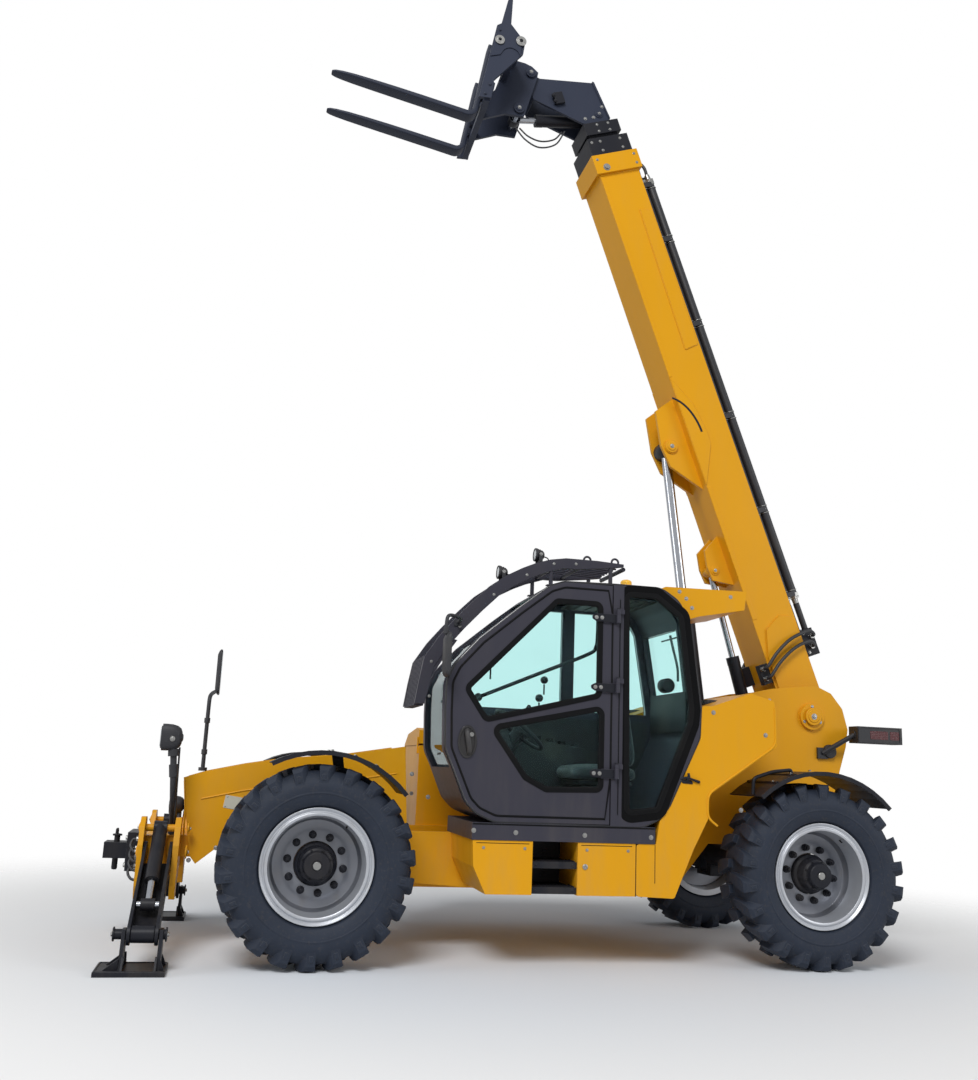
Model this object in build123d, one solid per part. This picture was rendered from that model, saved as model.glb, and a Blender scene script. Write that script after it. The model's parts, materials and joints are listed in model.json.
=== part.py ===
from build123d import *
from math import atan2, cos, degrees, hypot, radians, sin
import os

# Telehandler, in millimetres: X forward, Y to the driver's left, Z up, ground at Z 0.
# Every place below is measured from the middle of the wheelbase, on the machine's centre plane.
# The finished pieces are moved back by ORIGIN_X, so that the origin lies under the middle of the whole outline.
ORIGIN_X = 170

# ---- driving dimensions: running gear
WHEELBASE = 3254
TYRE_R = 585                # over the lugs
TYRE_W = 400
TYRE_OUTER_Y = 1110         # outer side of each tyre
RIM_R = 335                 # over the rim flange
RIM_EDGE_Y = 1077           # outer edge of the rim flange
DISC_DEPTH = 187            # dish of the wheel disc below that edge
LUG_H = 32                  # height of the tyres' lugs
LUG_WIDTH = 80              # of each lug, along the tread
LUGS = 22                   # lugs on each shoulder
KINGPIN_Y = 740
KINGPIN_R = 25
SPINDLE_R = 50
FIT = 0.05                  # radial running clearance of pins and spindles
SEAT = 0.3                  # clearance of pieces that lie beside each other
MOVE = 6                    # clearance of pieces that move past each other
FENDER_R = 655              # underside of the mudguards, from the hub
FENDER_T = 8

# ---- driving dimensions: frame
PLATE_Y = 360               # outer face of the frame's side plates
PLATE_T = 30
CAB_FLOOR_Z = 757           # underside of the cab
CAB_FLOOR_T = 103
ROOF_Z = 2395
CAB_IN_Y = 250              # inner wall of the cab, beside the boom
CAB_OUT_Y = 1050            # outer face of the door
WALL = 45                   # cab walls and door
GLASS_T = 6
PANEL_Y = 1045              # outer face of the body panels

# ---- driving dimensions: boom
PIVOT_X = -1970
PIVOT_Z = 1650
BOOM_ANGLE = 69.9           # stands raised
BOOM_DROP = 76              # swing down to travelling height
BOOM_W = 360
BOOM_LOW = -100             # underside, below the pivot
BOOM_HIGH = 250             # top face, above the pivot
BOOM_TAIL = -180
BOOM_END = 4580
BOOM_WALL = 12
SLIDE_GAP = 12              # between one section and the next, taken up by wear pads
PIVOT_R = 45
STROKE = 3400               # of each section

# ---- driving dimensions: cylinders (places in the boom's own frame: along it and above its pivot)
LIFT_EYE = (2272, -244)
LIFT_BASE = (-1300, 950)    # in the frame
LIFT_R = 75
LIFT_ROD_R = 38
COMP_EYE = (1250, -214)
COMP_BASE = (-1750, 1250)
COMP_R = 48
COMP_ROD_R = 24
TILT_BASE = (5110, 100)
TILT_R = 48
TILT_ROD_R = 24
TILT_TRAVEL = 126           # how far each rod slides into its barrel from where it stands
LIFT_TRAVEL = 1200
COMP_TRAVEL = 560
GLAND_RIM = 2               # the gland stands this far out of the barrel
END_WALL = 14               # between a barrel's eye and its bore

# ---- driving dimensions: head
HEAD_PIN = (5538, -380)     # tilt pivot, in the boom's frame
TINE_ANGLE = 9.5            # tines stand tipped back
TILT_PIN = (30, -350)       # tilt cylinder's pin, in the carriage's frame
HEAD_HALF = 445             # half width of the carriage
TINE_L = 1155
TINE_W = 120
TINE_T = 45
TINE_Y = 250
SHAFT_AT = (330, -30)       # fork shaft, in the carriage's frame
SHAFT_R = 25

# ---- driving dimensions: stabilisers
LEG_PIVOT = (470, 600)      # Y, Z
LEG_L = 700
SOLE_DROP = 200             # from the foot's pin to its sole
BEAM_X = (2462, 2670)       # cross beam, rear and front face

AXLE_X = WHEELBASE / 2
AXLE_Z = TYRE_R


# ---- small helpers
def outline(points, radius=0):
    if radius:
        return make_face(FilletPolyline(*points, radius=radius, close=True))
    return make_face(Polyline(*points, close=True))


def side_plate(points, y0, y1, radius=0):
    """Plate whose outline (x, z) lies in the machine's side view."""
    return extrude(outline([(x, y0, z) for x, z in points], radius), amount=y1 - y0, dir=(0, 1, 0))


def cross_plate(points, x0, x1, radius=0):
    """Plate whose outline (y, z) lies in the front view."""
    return extrude(outline([(x0, y, z) for y, z in points], radius), amount=x1 - x0, dir=(1, 0, 0))


def block(x0, x1, y0, y1, z0, z1):
    return Pos((x0 + x1) / 2, (y0 + y1) / 2, (z0 + z1) / 2) * Box(x1 - x0, y1 - y0, z1 - z0)


def rod_y(x, z, y0, y1, r):
    return Pos(x, (y0 + y1) / 2, z) * Rot(90, 0, 0) * Cylinder(r, y1 - y0)


def rod_x(y, z, x0, x1, r):
    return Pos((x0 + x1) / 2, y, z) * Rot(0, 90, 0) * Cylinder(r, x1 - x0)


def rod_z(x, y, z0, z1, r):
    return Pos(x, y, (z0 + z1) / 2) * Cylinder(r, z1 - z0)


def rod_between(a, b, r):
    """Round bar from point a to point b."""
    span = Vector(*b) - Vector(*a)
    plane = Plane(origin=a, z_dir=span)
    return extrude(plane * Circle(r), amount=span.length)


def mirrored(shape):
    return mirror(shape, about=Plane.XZ)


def both(shape):
    return [shape, mirrored(shape)]


def turned(x, z, angle):
    """Point (x, z) turned by an angle, tip up."""
    a = radians(angle)
    return (x * cos(a) - z * sin(a), x * sin(a) + z * cos(a))


def on_boom(u, v):
    """Place (x, z) in the machine of a point of the raised boom."""
    x, z = turned(u, v, BOOM_ANGLE)
    return (PIVOT_X + x, PIVOT_Z + z)


BOOM_AT = Pos(PIVOT_X, 0, PIVOT_Z) * Rot(0, -BOOM_ANGLE, 0)
HEAD_X, HEAD_Z = on_boom(*HEAD_PIN)
HEAD_AT = Pos(HEAD_X, 0, HEAD_Z) * Rot(0, -TINE_ANGLE, 0)


def on_head(x, z):
    dx, dz = turned(x, z, TINE_ANGLE)
    return (HEAD_X + dx, HEAD_Z + dz)


def cylinder_pair(base, eye, barrel_r, rod_r, barrel_l, width, eye_r, pin_r, pin_half, travel):
    """Barrel bored for the pin at base, and rod whose eye holds its own pin, both across the machine.

    The rod can slide in by travel before it meets the bottom of the barrel."""
    dx = eye[0] - base[0]
    dz = eye[1] - base[1]
    length = hypot(dx, dz)
    at = Pos(base[0], 0, base[1]) * Rot(0, -degrees(atan2(dz, dx)), 0)
    half = width / 2
    barrel = rod_y(0, 0, -half, half, eye_r) + rod_x(0, 0, 0, barrel_l, barrel_r)
    barrel += rod_x(0, 0, barrel_l - 60, barrel_l, barrel_r + GLAND_RIM)
    bottom = eye_r + END_WALL
    barrel -= rod_x(0, 0, bottom, barrel_l + 1, rod_r + FIT)
    reach = max(half, barrel_r) + 1
    barrel -= rod_y(0, 0, -reach, reach, pin_r + FIT)
    rod = rod_x(0, 0, bottom + travel + 4, length, rod_r) + rod_y(length, 0, -half, half, eye_r)
    rod += rod_y(length, 0, -pin_half, pin_half, pin_r)
    return at * barrel, at * rod


# ---- frame
FRAME_SIDE = [
    (2460, 1050), (2340, 1090), (2080, 1150), (1860, 1190), (1350, 1250), (1040, 1305),
    (1000, CAB_FLOOR_Z), (-800, CAB_FLOOR_Z), (-850, 1600), (-1080, 1660), (-1400, 1780),
    (-1660, 1840), (-1920, 1870), (-2020, 1880), (-2140, 1830), (-2230, 1720), (-2270, 1570),
    (-2250, 1440), (-2190, 1250), (-2150, 800), (-2050, 725), (-1150, 725), (-880, 400),
    (500, 400), (1000, 430), (1240, 725), (2000, 725), (2230, 610), (2340, 520), (2380, 570), (2420, 800),
]
LIFT_LUG_Y = (82, 112)
COMP_LUG_Y = (56, 80)


def chassis_frame():
    frame = side_plate(FRAME_SIDE, PLATE_Y - PLATE_T, PLATE_Y)
    frame += mirrored(frame)
    inner = PLATE_Y - PLATE_T
    frame += block(2300, 2400, -inner, inner, 560, 800)              # front cross member
    frame += block(AXLE_X - 220, AXLE_X + 220, -inner, inner, 725, 790)   # front axle seat
    frame += block(-AXLE_X - 220, -AXLE_X + 220, -inner, inner, 725, 790)  # rear axle seat
    frame += block(-800, 1000, -inner, inner, 400, 430)              # belly plate
    frame += block(-2150, -2060, -inner, inner, 800, 1150)           # rear cross member
    frame += block(-1500, -1100, -inner, inner, 725, 850)            # seat of the lift cylinder
    for y0, y1 in (LIFT_LUG_Y, (-LIFT_LUG_Y[1], -LIFT_LUG_Y[0])):
        frame += side_plate([(-1420, 850), (-1180, 850), (-1235, 1015), (-1365, 1015)], y0, y1)
    frame += rod_y(*LIFT_BASE, -LIFT_LUG_Y[1], LIFT_LUG_Y[1], 35)
    cross = block(COMP_BASE[0] - 60, COMP_BASE[0] + 60, -inner, inner, 1090, 1150)
    frame += cross
    for y0, y1 in (COMP_LUG_Y, (-COMP_LUG_Y[1], -COMP_LUG_Y[0])):
        frame += side_plate([(-1810, 1150), (-1690, 1150), (-1715, 1300), (-1785, 1300)], y0, y1)
    frame += rod_y(*COMP_BASE, -COMP_LUG_Y[1], COMP_LUG_Y[1], 25)
    for side in (1, -1):
        y0, y1 = sorted((side * (PLATE_Y - PLATE_T - 40), side * (PLATE_Y + 25)))
        frame += rod_y(PIVOT_X, PIVOT_Z, y0, y1, 95)
        y0, y1 = sorted((side * (BOOM_W / 2 + 20), side * (PLATE_Y + 40)))
        frame += rod_y(PIVOT_X, PIVOT_Z, y0, y1, PIVOT_R)
    return frame


# outline of the cab's side, rear corner round to the front
CAB_SIDE = [
    (910, 1710), (910, 1530), (900, 1290), (850, 1190), (760, 980), (690, 910), (570, 860),
    (-390, 860), (-500, 910), (-570, 990), (-780, 1430), (-790, 1630), (-700, ROOF_Z - 195), (-630, ROOF_Z - 75),
    (-510, ROOF_Z), (160, ROOF_Z), (260, ROOF_Z - 35), (450, ROOF_Z - 185), (710, 1990), (860, 1820),
]
CAB_CORNER = 150            # rounding of the cab's side outline
SILL_Z = 1600               # lower edge of the cab's inner side windows
WINDOW_CORNER = 45


def side_boxes():
    """Three closed boxes under the cab's outer side, with the step's well between two of them."""
    low = 440
    front = side_plate([(700, CAB_FLOOR_Z), (690, 600), (610, low), (320, low), (320, CAB_FLOOR_Z)], PLATE_Y, PANEL_Y)
    rear = side_plate([(30, CAB_FLOOR_Z), (30, low), (-350, low), (-350, CAB_FLOOR_Z)], PLATE_Y, PANEL_Y)
    return [front, rear]


def step_left():
    """Black step in its well: back wall, floor and two treads."""
    step = block(30 + SEAT, 320 - SEAT, PLATE_Y, PLATE_Y + 300, 450, CAB_FLOOR_Z - SEAT)
    for z in (450, 600):
        step += block(30 + SEAT, 320 - SEAT, PLATE_Y + 300, PANEL_Y - 20, z, z + 30)
    return step


REAR_PANEL = [
    (-355, 440), (-610, 430), (-740, 730), (-840, 920), (-845, 1070), (-1335, 1400), (-1320, 1695),
    (-1150, 1740), (-870, 1640), (-800, 1640), (-790, 1430), (-580, 990), (-510, 900), (-485, CAB_FLOOR_Z),
    (-355, CAB_FLOOR_Z),
]


PANEL_CORNER = 22


def rear_body():
    """Tanks either side of the frame behind the cab."""
    left = side_plate(REAR_PANEL, PLATE_Y, PANEL_Y, PANEL_CORNER)
    left -= block(-485, -355, PLATE_Y - 1, PANEL_Y + 1, CAB_FLOOR_Z, CAB_FLOOR_Z + CAB_FLOOR_T)
    right = mirrored(side_plate(
        [(-840, 700), (-845, 1070), (-1335, 1400), (-1320, 1695), (-1150, 1740), (-870, 1640), (-800, 1500), (-800, 700)],
        PLATE_Y, 1000))
    return [left, right]


POD = dict(x0=-770, x1=830, y0=PLATE_Y, y1=1050, z0=480, z1=1330)
HOOD_HINGE = (POD["y0"] + 30, POD["z1"] + 45)     # Y (on the right side) and Z of the hood's hinge
HOOD_LAP = 4                # the hood's ends reach past the bay's walls
HOOD_T = 15
HOOD_PIN_R = 10
HOOD_LUG_T = 10


def engine_pod():
    """Engine bay on the right side, open on top, where the hood shuts it."""
    p = POD
    shell = block(p["x0"], p["x1"], p["y0"], p["y1"], p["z0"], p["z1"])
    shell -= block(p["x0"] + 25, p["x1"] - 25, p["y0"] + 25, p["y1"] - 25, p["z0"] + 25, p["z1"] + 1)
    y, z = HOOD_HINGE
    for wall, out in ((p["x0"], -1), (p["x1"], 1)):
        near, far = wall + out * (HOOD_LAP + 2), wall + out * (HOOD_LAP + 2 + HOOD_LUG_T)
        shell += block(*sorted((near, far)), y - 18, y + 18, p["z1"] - 60, z + 18)
        shell += block(*sorted((wall, far)), y - 18, y + 18, p["z1"] - 60, p["z1"] - 8)
        shell += rod_x(y, z, *sorted((far, wall - out * (HOOD_T - HOOD_LAP))), HOOD_PIN_R)
    return mirrored(shell)


def engine_block():
    p = POD
    return mirrored(block(-500, 650, p["y0"] + 110, p["y1"] - 130, p["z0"] + 25, p["z1"] - 120))


def hood():
    """Lid of the engine bay: one bent skin with an end plate at the front and back."""
    y0, y1, z = POD["y0"] + 8, POD["y1"] + 5, POD["z1"] + 2
    t = HOOD_T
    top = [(y0, z + 12), (y0, z + 110), (y0 + 112, z + 130), (y1 - 145, z + 90), (y1 + t, z + 12)]
    skin = top + [(y1 + t, z - 180), (y1, z - 180), (y1, z + 2),
                  (y1 - 150, z + 74), (y0 + 114, z + 114), (y0 + t, z + 96), (y0 + t, z + 12)]
    end = top + [(y1 + t, z), (y0 + 60, z)]
    x0, x1 = POD["x0"] - HOOD_LAP, POD["x1"] + HOOD_LAP
    lid = cross_plate(skin, x0, x1) + cross_plate(end, x0, x0 + t) + cross_plate(end, x1 - t, x1)
    lid -= rod_x(*HOOD_HINGE, x0 - 1, x1 + 1, HOOD_PIN_R + FIT)
    return mirrored(lid)


# ---- axles, knuckles and wheels
LUG_Z = 128                 # underside of the axle's upper fork lug, above the axle
FORK_T = 35


def axle(x):
    """Beam with a fork at each end that holds the kingpin."""
    beam = rod_y(x, AXLE_Z, -600, 600, 85)
    beam += Pos(x, 0, AXLE_Z) * Sphere(138)
    beam += block(x - 60, x + 60, -150, 150, AXLE_Z, 725)
    for side in (1, -1):
        y0, y1 = sorted((side * 540, side * 610))
        beam += block(x - 50, x + 50, y0, y1, AXLE_Z - LUG_Z - FORK_T, AXLE_Z + LUG_Z + FORK_T)
        y0, y1 = sorted((side * 600, side * (KINGPIN_Y + 45)))
        for z in (LUG_Z, -LUG_Z - FORK_T):
            beam += block(x - 55, x + 55, y0, y1, AXLE_Z + z, AXLE_Z + z + FORK_T)
        beam += rod_z(x, side * KINGPIN_Y, AXLE_Z - LUG_Z - FORK_T, AXLE_Z + LUG_Z + FORK_T, KINGPIN_R)
    return beam


FENDERS = {                 # start and end of the mudguard's arc, from straight ahead, and its post's place
    "front": (62, 140, -215),
    "rear": (48, 138, 215),
}


def fender(x, start, end, post):
    """Mudguard over the left wheel, and the post that carries it from the knuckle."""
    r0 = FENDER_R
    r1 = FENDER_R + FENDER_T
    steps = 12
    arc = [start + (end - start) * i / steps for i in range(steps + 1)]
    points = [(x + r1 * cos(radians(a)), AXLE_Z + r1 * sin(radians(a))) for a in arc]
    points += [(x + r0 * cos(radians(a)), AXLE_Z + r0 * sin(radians(a))) for a in reversed(arc)]
    shell = side_plate(points, 640, TYRE_OUTER_Y)
    lip = [(x + (r1 + 3) * cos(radians(a)), AXLE_Z + (r1 + 3) * sin(radians(a))) for a in arc]
    lip += [(x + (r0 - 16) * cos(radians(a)), AXLE_Z + (r0 - 16) * sin(radians(a))) for a in reversed(arc)]
    shell += side_plate(lip, TYRE_OUTER_Y - 12, TYRE_OUTER_Y)
    top = AXLE_Z + (r0 + FENDER_T / 2) * cos(post / r0 / 2)
    shell += side_plate([(x + post - 30, AXLE_Z + 60), (x + post + 30, AXLE_Z + 60),
                         (x + post / 2 + 35, top), (x + post / 2 - 35, top)], 650, 662)
    near, far = sorted((x + post * 0.3, x + post * 1.1))
    shell += block(near, far, 660, 690, AXLE_Z + 62, AXLE_Z + 96)
    return shell


def knuckle(x, start, end, post):
    """Left knuckle with its spindle, its steering arm and the mudguard that it carries."""
    half = LUG_Z - 3
    body = block(x - 70, x + 70, 695, 800, AXLE_Z - half, AXLE_Z + half)
    body += rod_y(x, AXLE_Z, 790, 880, 105)
    body += rod_y(x, AXLE_Z, 800, 1030, SPINDLE_R)
    near, far = sorted((x + post * 0.2, x + post * 1.1))
    body += block(near, far, 690, 720, AXLE_Z + 62, AXLE_Z + 96)
    body += fender(x, start, end, post)
    body -= rod_z(x, KINGPIN_Y, AXLE_Z - half - 1, AXLE_Z + half + 1, KINGPIN_R + FIT)
    return body


RIM_W = 2 * RIM_EDGE_Y - 2 * TYRE_OUTER_Y + TYRE_W     # over the flanges


def tyre():
    """Left tyre about its own hub: carcass with a ring of chunky lugs on each shoulder."""
    half = TYRE_W / 2
    tread = TYRE_R - LUG_H
    bead = RIM_R - 35
    grip = RIM_W / 2 - 16 - SEAT
    side = [(bead, grip), (RIM_R + 3, grip), (RIM_R + 35, grip + 30), (420, half - 4), (450, half),
            (tread - 75, half - 4), (tread - 45, half - 24), (tread, half - 60)]
    section = side + [(r, -y) for r, y in reversed(side)]
    shape = revolve(outline([(r, y, 0) for r, y in section]), Axis.Y)
    block_side = [(tread - 80, half - 50), (tread - 80, half - 6), (TYRE_R - 14, half - 8), (TYRE_R, half - 24),
                  (TYRE_R, 16), (tread - 8, 16)]
    lug = outline([(r, y, -LUG_WIDTH / 2) for r, y in block_side])
    lug = extrude(lug, amount=LUG_WIDTH, dir=(0, 0, 1))
    pitch = 360 / LUGS
    outer = [Rot(0, 90 + pitch * i, 0) * lug for i in range(LUGS)]
    inner = [Rot(0, 90 + pitch * (i + 0.5), 0) * mirror(lug, Plane.XZ) for i in range(LUGS)]
    return shape.fuse(*outer, *inner)


def rim(x):
    """Left wheel: rim, dished disc and hub."""
    edge = RIM_EDGE_Y
    inner = edge - RIM_W
    disc = edge - DISC_DEPTH
    bead = RIM_R - 35 - SEAT
    section = [
        (RIM_R, edge), (RIM_R, edge - 16), (bead, edge - 16), (bead, inner + 16), (RIM_R, inner + 16), (RIM_R, inner),
        (bead - 14, inner), (bead - 24, inner + 60), (bead - 24, disc - 40), (160, disc - 14), (125, disc - 14), (125, 884),
        (SPINDLE_R + FIT, 884), (SPINDLE_R + FIT, 1032), (0, 1032), (0, edge - 20), (70, edge - 20), (80, edge - 32), (80, edge - 62),
        (128, edge - 82), (128, disc), (160, disc), (bead - 12, disc - 26), (bead - 12, edge - 18), (bead, edge),
    ]
    face = outline([(r, y, 0) for r, y in section])
    return Pos(x, 0, AXLE_Z) * revolve(face, Axis.Y)


# ---- cab
def inset(points, by):
    """The outline moved inwards by one distance."""
    face = outline([(x, z) for x, z in points], CAB_CORNER)
    return offset(face, amount=-by, kind=Kind.INTERSECTION)


def cab_solid(by, y0, y1):
    face = inset(CAB_SIDE, by) if by else outline(CAB_SIDE, CAB_CORNER)
    return Pos(0, y1, 0) * Rot(90, 0, 0) * extrude(face, amount=y1 - y0)


DOOR_X = -170               # rear edge of the door
HINGE_X = -207
HINGE_Y = 1074
HINGE_R = 14
HINGE_PIN_R = 8
HINGE_Z = (2170, 1720, 1180)
DOOR_IN = CAB_OUT_Y - 44    # inner face of the door
QUARTER = [(-260, ROOF_Z - 45), (-480, ROOF_Z - 45), (-660, ROOF_Z - 175), (-735, 1610), (-725, 1520), (-500, 960),
           (-275, 930)]


def cab_frame():
    """Hollow cab: floor, roof, pillars and sills, with every window cut."""
    low = DOOR_IN - 3
    shell = cab_solid(0, CAB_IN_Y, low)
    shell += cab_solid(0, CAB_IN_Y, CAB_OUT_Y) & block(-900, DOOR_X - 8, CAB_IN_Y, CAB_OUT_Y, 800, 2500)
    shell -= cab_solid(WALL, CAB_IN_Y + WALL, low - WALL)
    opening = inset(CAB_SIDE, 70)
    gate = Pos(0, 2000, 0) * Rot(90, 0, 0) * extrude(opening, amount=2000 - (low - WALL) + 1)
    shell -= gate & block(-130, 1200, 500, 2000, 800, 2500)
    shell -= side_plate(QUARTER, low - WALL - 1, CAB_OUT_Y + 1, WINDOW_CORNER)
    for x0, x1 in ((-700, -150), (-60, 780)):
        cut = inset(CAB_SIDE, 90)
        glass = Pos(0, CAB_IN_Y + WALL + 1, 0) * Rot(90, 0, 0) * extrude(cut, amount=WALL + 2)
        shell -= glass & block(x0, x1, 0, 600, SILL_Z, 2500)
    shell -= block(200, 1200, CAB_IN_Y + 60, low - 60, 1180, 2300) & cab_solid(-200, CAB_IN_Y + 60, low - 60)
    shell -= block(-1000, -600, CAB_IN_Y + 70, low - 70, 1500, 2150)
    shell -= block(-380, 180, CAB_IN_Y + 110, low - 110, 2300, 2500)
    for z in HINGE_Z:
        shell += block(HINGE_X - 40, HINGE_X, CAB_OUT_Y - 5, HINGE_Y, z + 31, z + 61)
        shell += rod_z(HINGE_X, HINGE_Y, z + 31, z + 61, HINGE_R)
        shell += rod_z(HINGE_X, HINGE_Y, z - 30, z + 61, HINGE_PIN_R)
    return shell


def cab_floor():
    """Sill and floor under the cab."""
    return block(-478, 707, CAB_IN_Y, CAB_OUT_Y, CAB_FLOOR_Z, CAB_FLOOR_Z + CAB_FLOOR_T - SEAT)


UPPER_WINDOW = [(210, ROOF_Z - 125), (790, 1670), (650, 1470), (-100, 1660), (-100, ROOF_Z - 125)]
LOWER_WINDOW = [(620, 1440), (-120, 1600), (-120, 1070), (250, 1060), (390, 1130)]


def door():
    """Door with its upper and lower window cut; hinge barrels behind its rear edge."""
    leaf = cab_solid(8, DOOR_IN, CAB_OUT_Y) & block(DOOR_X, 1200, 900, 1200, 800, 2500)
    for window in (UPPER_WINDOW, LOWER_WINDOW):
        leaf -= side_plate(window, 900, 1200, WINDOW_CORNER)
    for z in HINGE_Z:
        leaf += block(HINGE_X, DOOR_X + 60, CAB_OUT_Y, CAB_OUT_Y + 12, z - 30, z + 30)
        leaf += block(HINGE_X, HINGE_X + 14, CAB_OUT_Y, HINGE_Y, z - 30, z + 30)
        leaf += rod_z(HINGE_X, HINGE_Y, z - 30, z + 30, HINGE_R)
        leaf -= rod_z(HINGE_X, HINGE_Y, z - 31, z + 31, HINGE_PIN_R + FIT)
    return leaf


def door_glass():
    y = CAB_OUT_Y - 24
    return [side_plate(inset_points(w, SEAT), y, y + GLASS_T, WINDOW_CORNER) for w in (UPPER_WINDOW, LOWER_WINDOW)]


def inset_points(points, by):
    """Corners of a convex outline moved towards its middle, so that a pane fits its frame."""
    cx = sum(p[0] for p in points) / len(points)
    cz = sum(p[1] for p in points) / len(points)
    return [(x - by * (x - cx) / hypot(x - cx, z - cz), z - by * (z - cz) / hypot(x - cx, z - cz)) for x, z in points]


def cab_glass():
    """Fixed panes: windscreen, inner side, rear, roof and quarter window."""
    low = DOOR_IN - 3
    quarter = side_plate(inset_points(QUARTER, SEAT), CAB_OUT_Y - 30, CAB_OUT_Y - 30 + GLASS_T, WINDOW_CORNER)
    inner = Pos(0, CAB_IN_Y + 26, 0) * Rot(90, 0, 0) * extrude(inset(CAB_SIDE, 90 + SEAT), amount=GLASS_T)
    sides = []
    for x0, x1 in ((-700, -150), (-60, 780)):
        sides.append(inner & block(x0 + SEAT, x1 - SEAT, 0, 600, SILL_Z + SEAT, 2500))
    shield = cab_solid(20, CAB_IN_Y + 60 + SEAT, low - 60 - SEAT) - cab_solid(20 + GLASS_T, CAB_IN_Y, low)
    screen = shield & block(200 + SEAT, 1200, 0, 1200, 1180 + SEAT, 2300 - SEAT)
    rear = shield & block(-1000, -600 - SEAT, CAB_IN_Y + 70 + SEAT, low - 70 - SEAT, 1500 + SEAT, 2150 - SEAT)
    roof = shield & block(-380 + SEAT, 180 - SEAT, CAB_IN_Y + 110 + SEAT, low - 110 - SEAT, 2300 + SEAT, 2500)
    return [quarter, *sides, screen, rear, roof]


def seat():
    base = block(-340, -20, 440, 860, 905 + SEAT, 1130)
    cushion = block(-440, 20, 420, 880, 1130, 1250)
    back = side_plate([(-440, 1250), (-330, 1250), (-430, 1830), (-520, 1830)], 430, 870)
    return base + cushion + back


def controls():
    """Dashboard, steering column and wheel."""
    dash = side_plate([(430, 905 + SEAT), (530, 905 + SEAT), (700, 1180), (560, 1330), (440, 1300)], 480, 820)
    column = rod_between((480, 650, 1250), (330, 650, 1440), 35)
    at = Plane(origin=(330, 650, 1440), z_dir=(-150, 0, 190))
    ring = at * Torus(190, 14)
    ring += at * Cylinder(40, 30)
    for a in (0, 120, 240):
        ring += at * Rot(0, 0, a) * Pos(100, 0, 0) * Box(180, 24, 12)
    return dash + column + ring


GUARD_TOP = ROOF_Z + 285
GUARD_IN = [(1070, 1570), (1020, 1870), (830, 2130), (610, 2360), (410, GUARD_TOP - 170), (200, GUARD_TOP - 80),
            (40, GUARD_TOP), (-450, GUARD_TOP)]
GUARD_Y = (330, 370, 800, 840)      # inner and outer face of each side rail
VISOR = [(1070, 1570), (1020, 1870), (830, 2130), (762, 2052), (905, 1850), (950, 1570)]
SLATS = 5


def roof_guard():
    """Guard over the windscreen and roof: side rails with cross bars, and a slatted visor low in front."""
    y0, y1, y2, y3 = GUARD_Y
    rail = GUARD_IN + [(x - 52, z - 76) for x, z in reversed(GUARD_IN)]
    guard = side_plate(rail, y0, y1) + side_plate(rail, y2, y3)
    guard += side_plate(VISOR, y0, y0 + 10) + side_plate(VISOR, y3 - 10, y3)
    for x, z in GUARD_IN:
        guard += block(x - 36, x - 4, y0, y3, z - 50, z - 20)
    for i in range(SLATS):
        x = 958 + 22 * i
        guard += side_plate([(x, 1600), (x + 6, 1600), (x - 68, 1900), (x - 74, 1900)], y0, y3)
    for y in (350, 820):
        guard += rod_z(-420, y, ROOF_Z, GUARD_TOP - 30, 18)
        guard += rod_z(100, y, ROOF_Z, GUARD_TOP - 50, 18)
    return guard


def cab_cowl():
    corner = [(x - SEAT, z + SEAT) for x, z in CAB_SIDE[12:15]]
    return side_plate(corner + [(-560, ROOF_Z + 25), (-1150, ROOF_Z + 35), (-1130, 2300), (-800, 2235)], 380, 1000)


def beacon():
    return rod_z(-480, 450, ROOF_Z, ROOF_Z + 90, 28) + rod_z(-480, 450, ROOF_Z + 90, ROOF_Z + 155, 45)


def work_lamps():
    lamps = []
    for x, z in (GUARD_IN[4], GUARD_IN[5]):
        foot_z = z - 20
        lamps.append(rod_z(x - 20, 760, foot_z, foot_z + 60, 12) + rod_x(760, foot_z + 90, x - 50, x + 40, 55))
    return lamps


def mirrors():
    near = rod_y(815, 2105, 840 + SEAT, 1000, 12) + rod_between((815, 995, 2105), (945, 1150, 2110), 12)
    near += rod_z(945, 1150, 1990, 2118, 12) + block(925, 965, 1040, 1195, 1720, 2000)
    pole = rod_z(2370, -PLATE_Y + 15, 1086, 1640, 16)
    pole += rod_between((2370, -PLATE_Y + 15, 1630), (2340, -700, 1660), 14)
    pole += block(2315, 2350, -790, -620, 1640, 1980)
    return [near, pole]


def headlamps():
    """Left lamp high on a bent arm, right lamp low beside the beam."""
    foot = block(2484, 2516, 280, 336, 690, 704)
    high = foot + rod_between((2500, 308, 703), (2500, 520, 900), 16) + rod_between((2500, 516, 893), (2540, 600, 1220), 15)
    high += side_plate([(2490, 1215), (2475, 1290), (2495, 1365), (2560, 1385), (2600, 1350), (2600, 1240), (2570, 1205)],
                       540, 660, 22)
    low = foot + rod_between((2500, 308, 703), (2500, 330, 800), 16) + rod_x(330, 850, 2470, 2560, 62)
    return [high, mirrored(low)]


def tail_lamps():
    arm = block(-2090, -2010, PLATE_Y, PLATE_Y + 20, 1350, 1430)
    arm += rod_between((-2050, PLATE_Y + 17, 1390), (-2240, 500, 1530), 18)
    arm += block(-2590, -2230, 440, 560, 1470, 1590)
    return both(arm)


def tow_hitch():
    hitch = block(BEAM_X[1], 2780, -180, 180, 450, 690)
    hitch += block(2780, 2930, -90, 90, 520, 620)
    hitch -= rod_z(2860, 0, 500, 640, 20)
    return hitch


# ---- stabilisers: all of one side, in the front view
def leg_frame():
    """Place and turn of the left leg: local +Y runs from its pivot to its foot."""
    drop = LEG_PIVOT[1] - SOLE_DROP
    angle = -degrees(atan2(drop, (LEG_L ** 2 - drop ** 2) ** 0.5))
    return Pos(0, LEG_PIVOT[0], LEG_PIVOT[1]) * Rot(angle, 0, 0), angle


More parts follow.
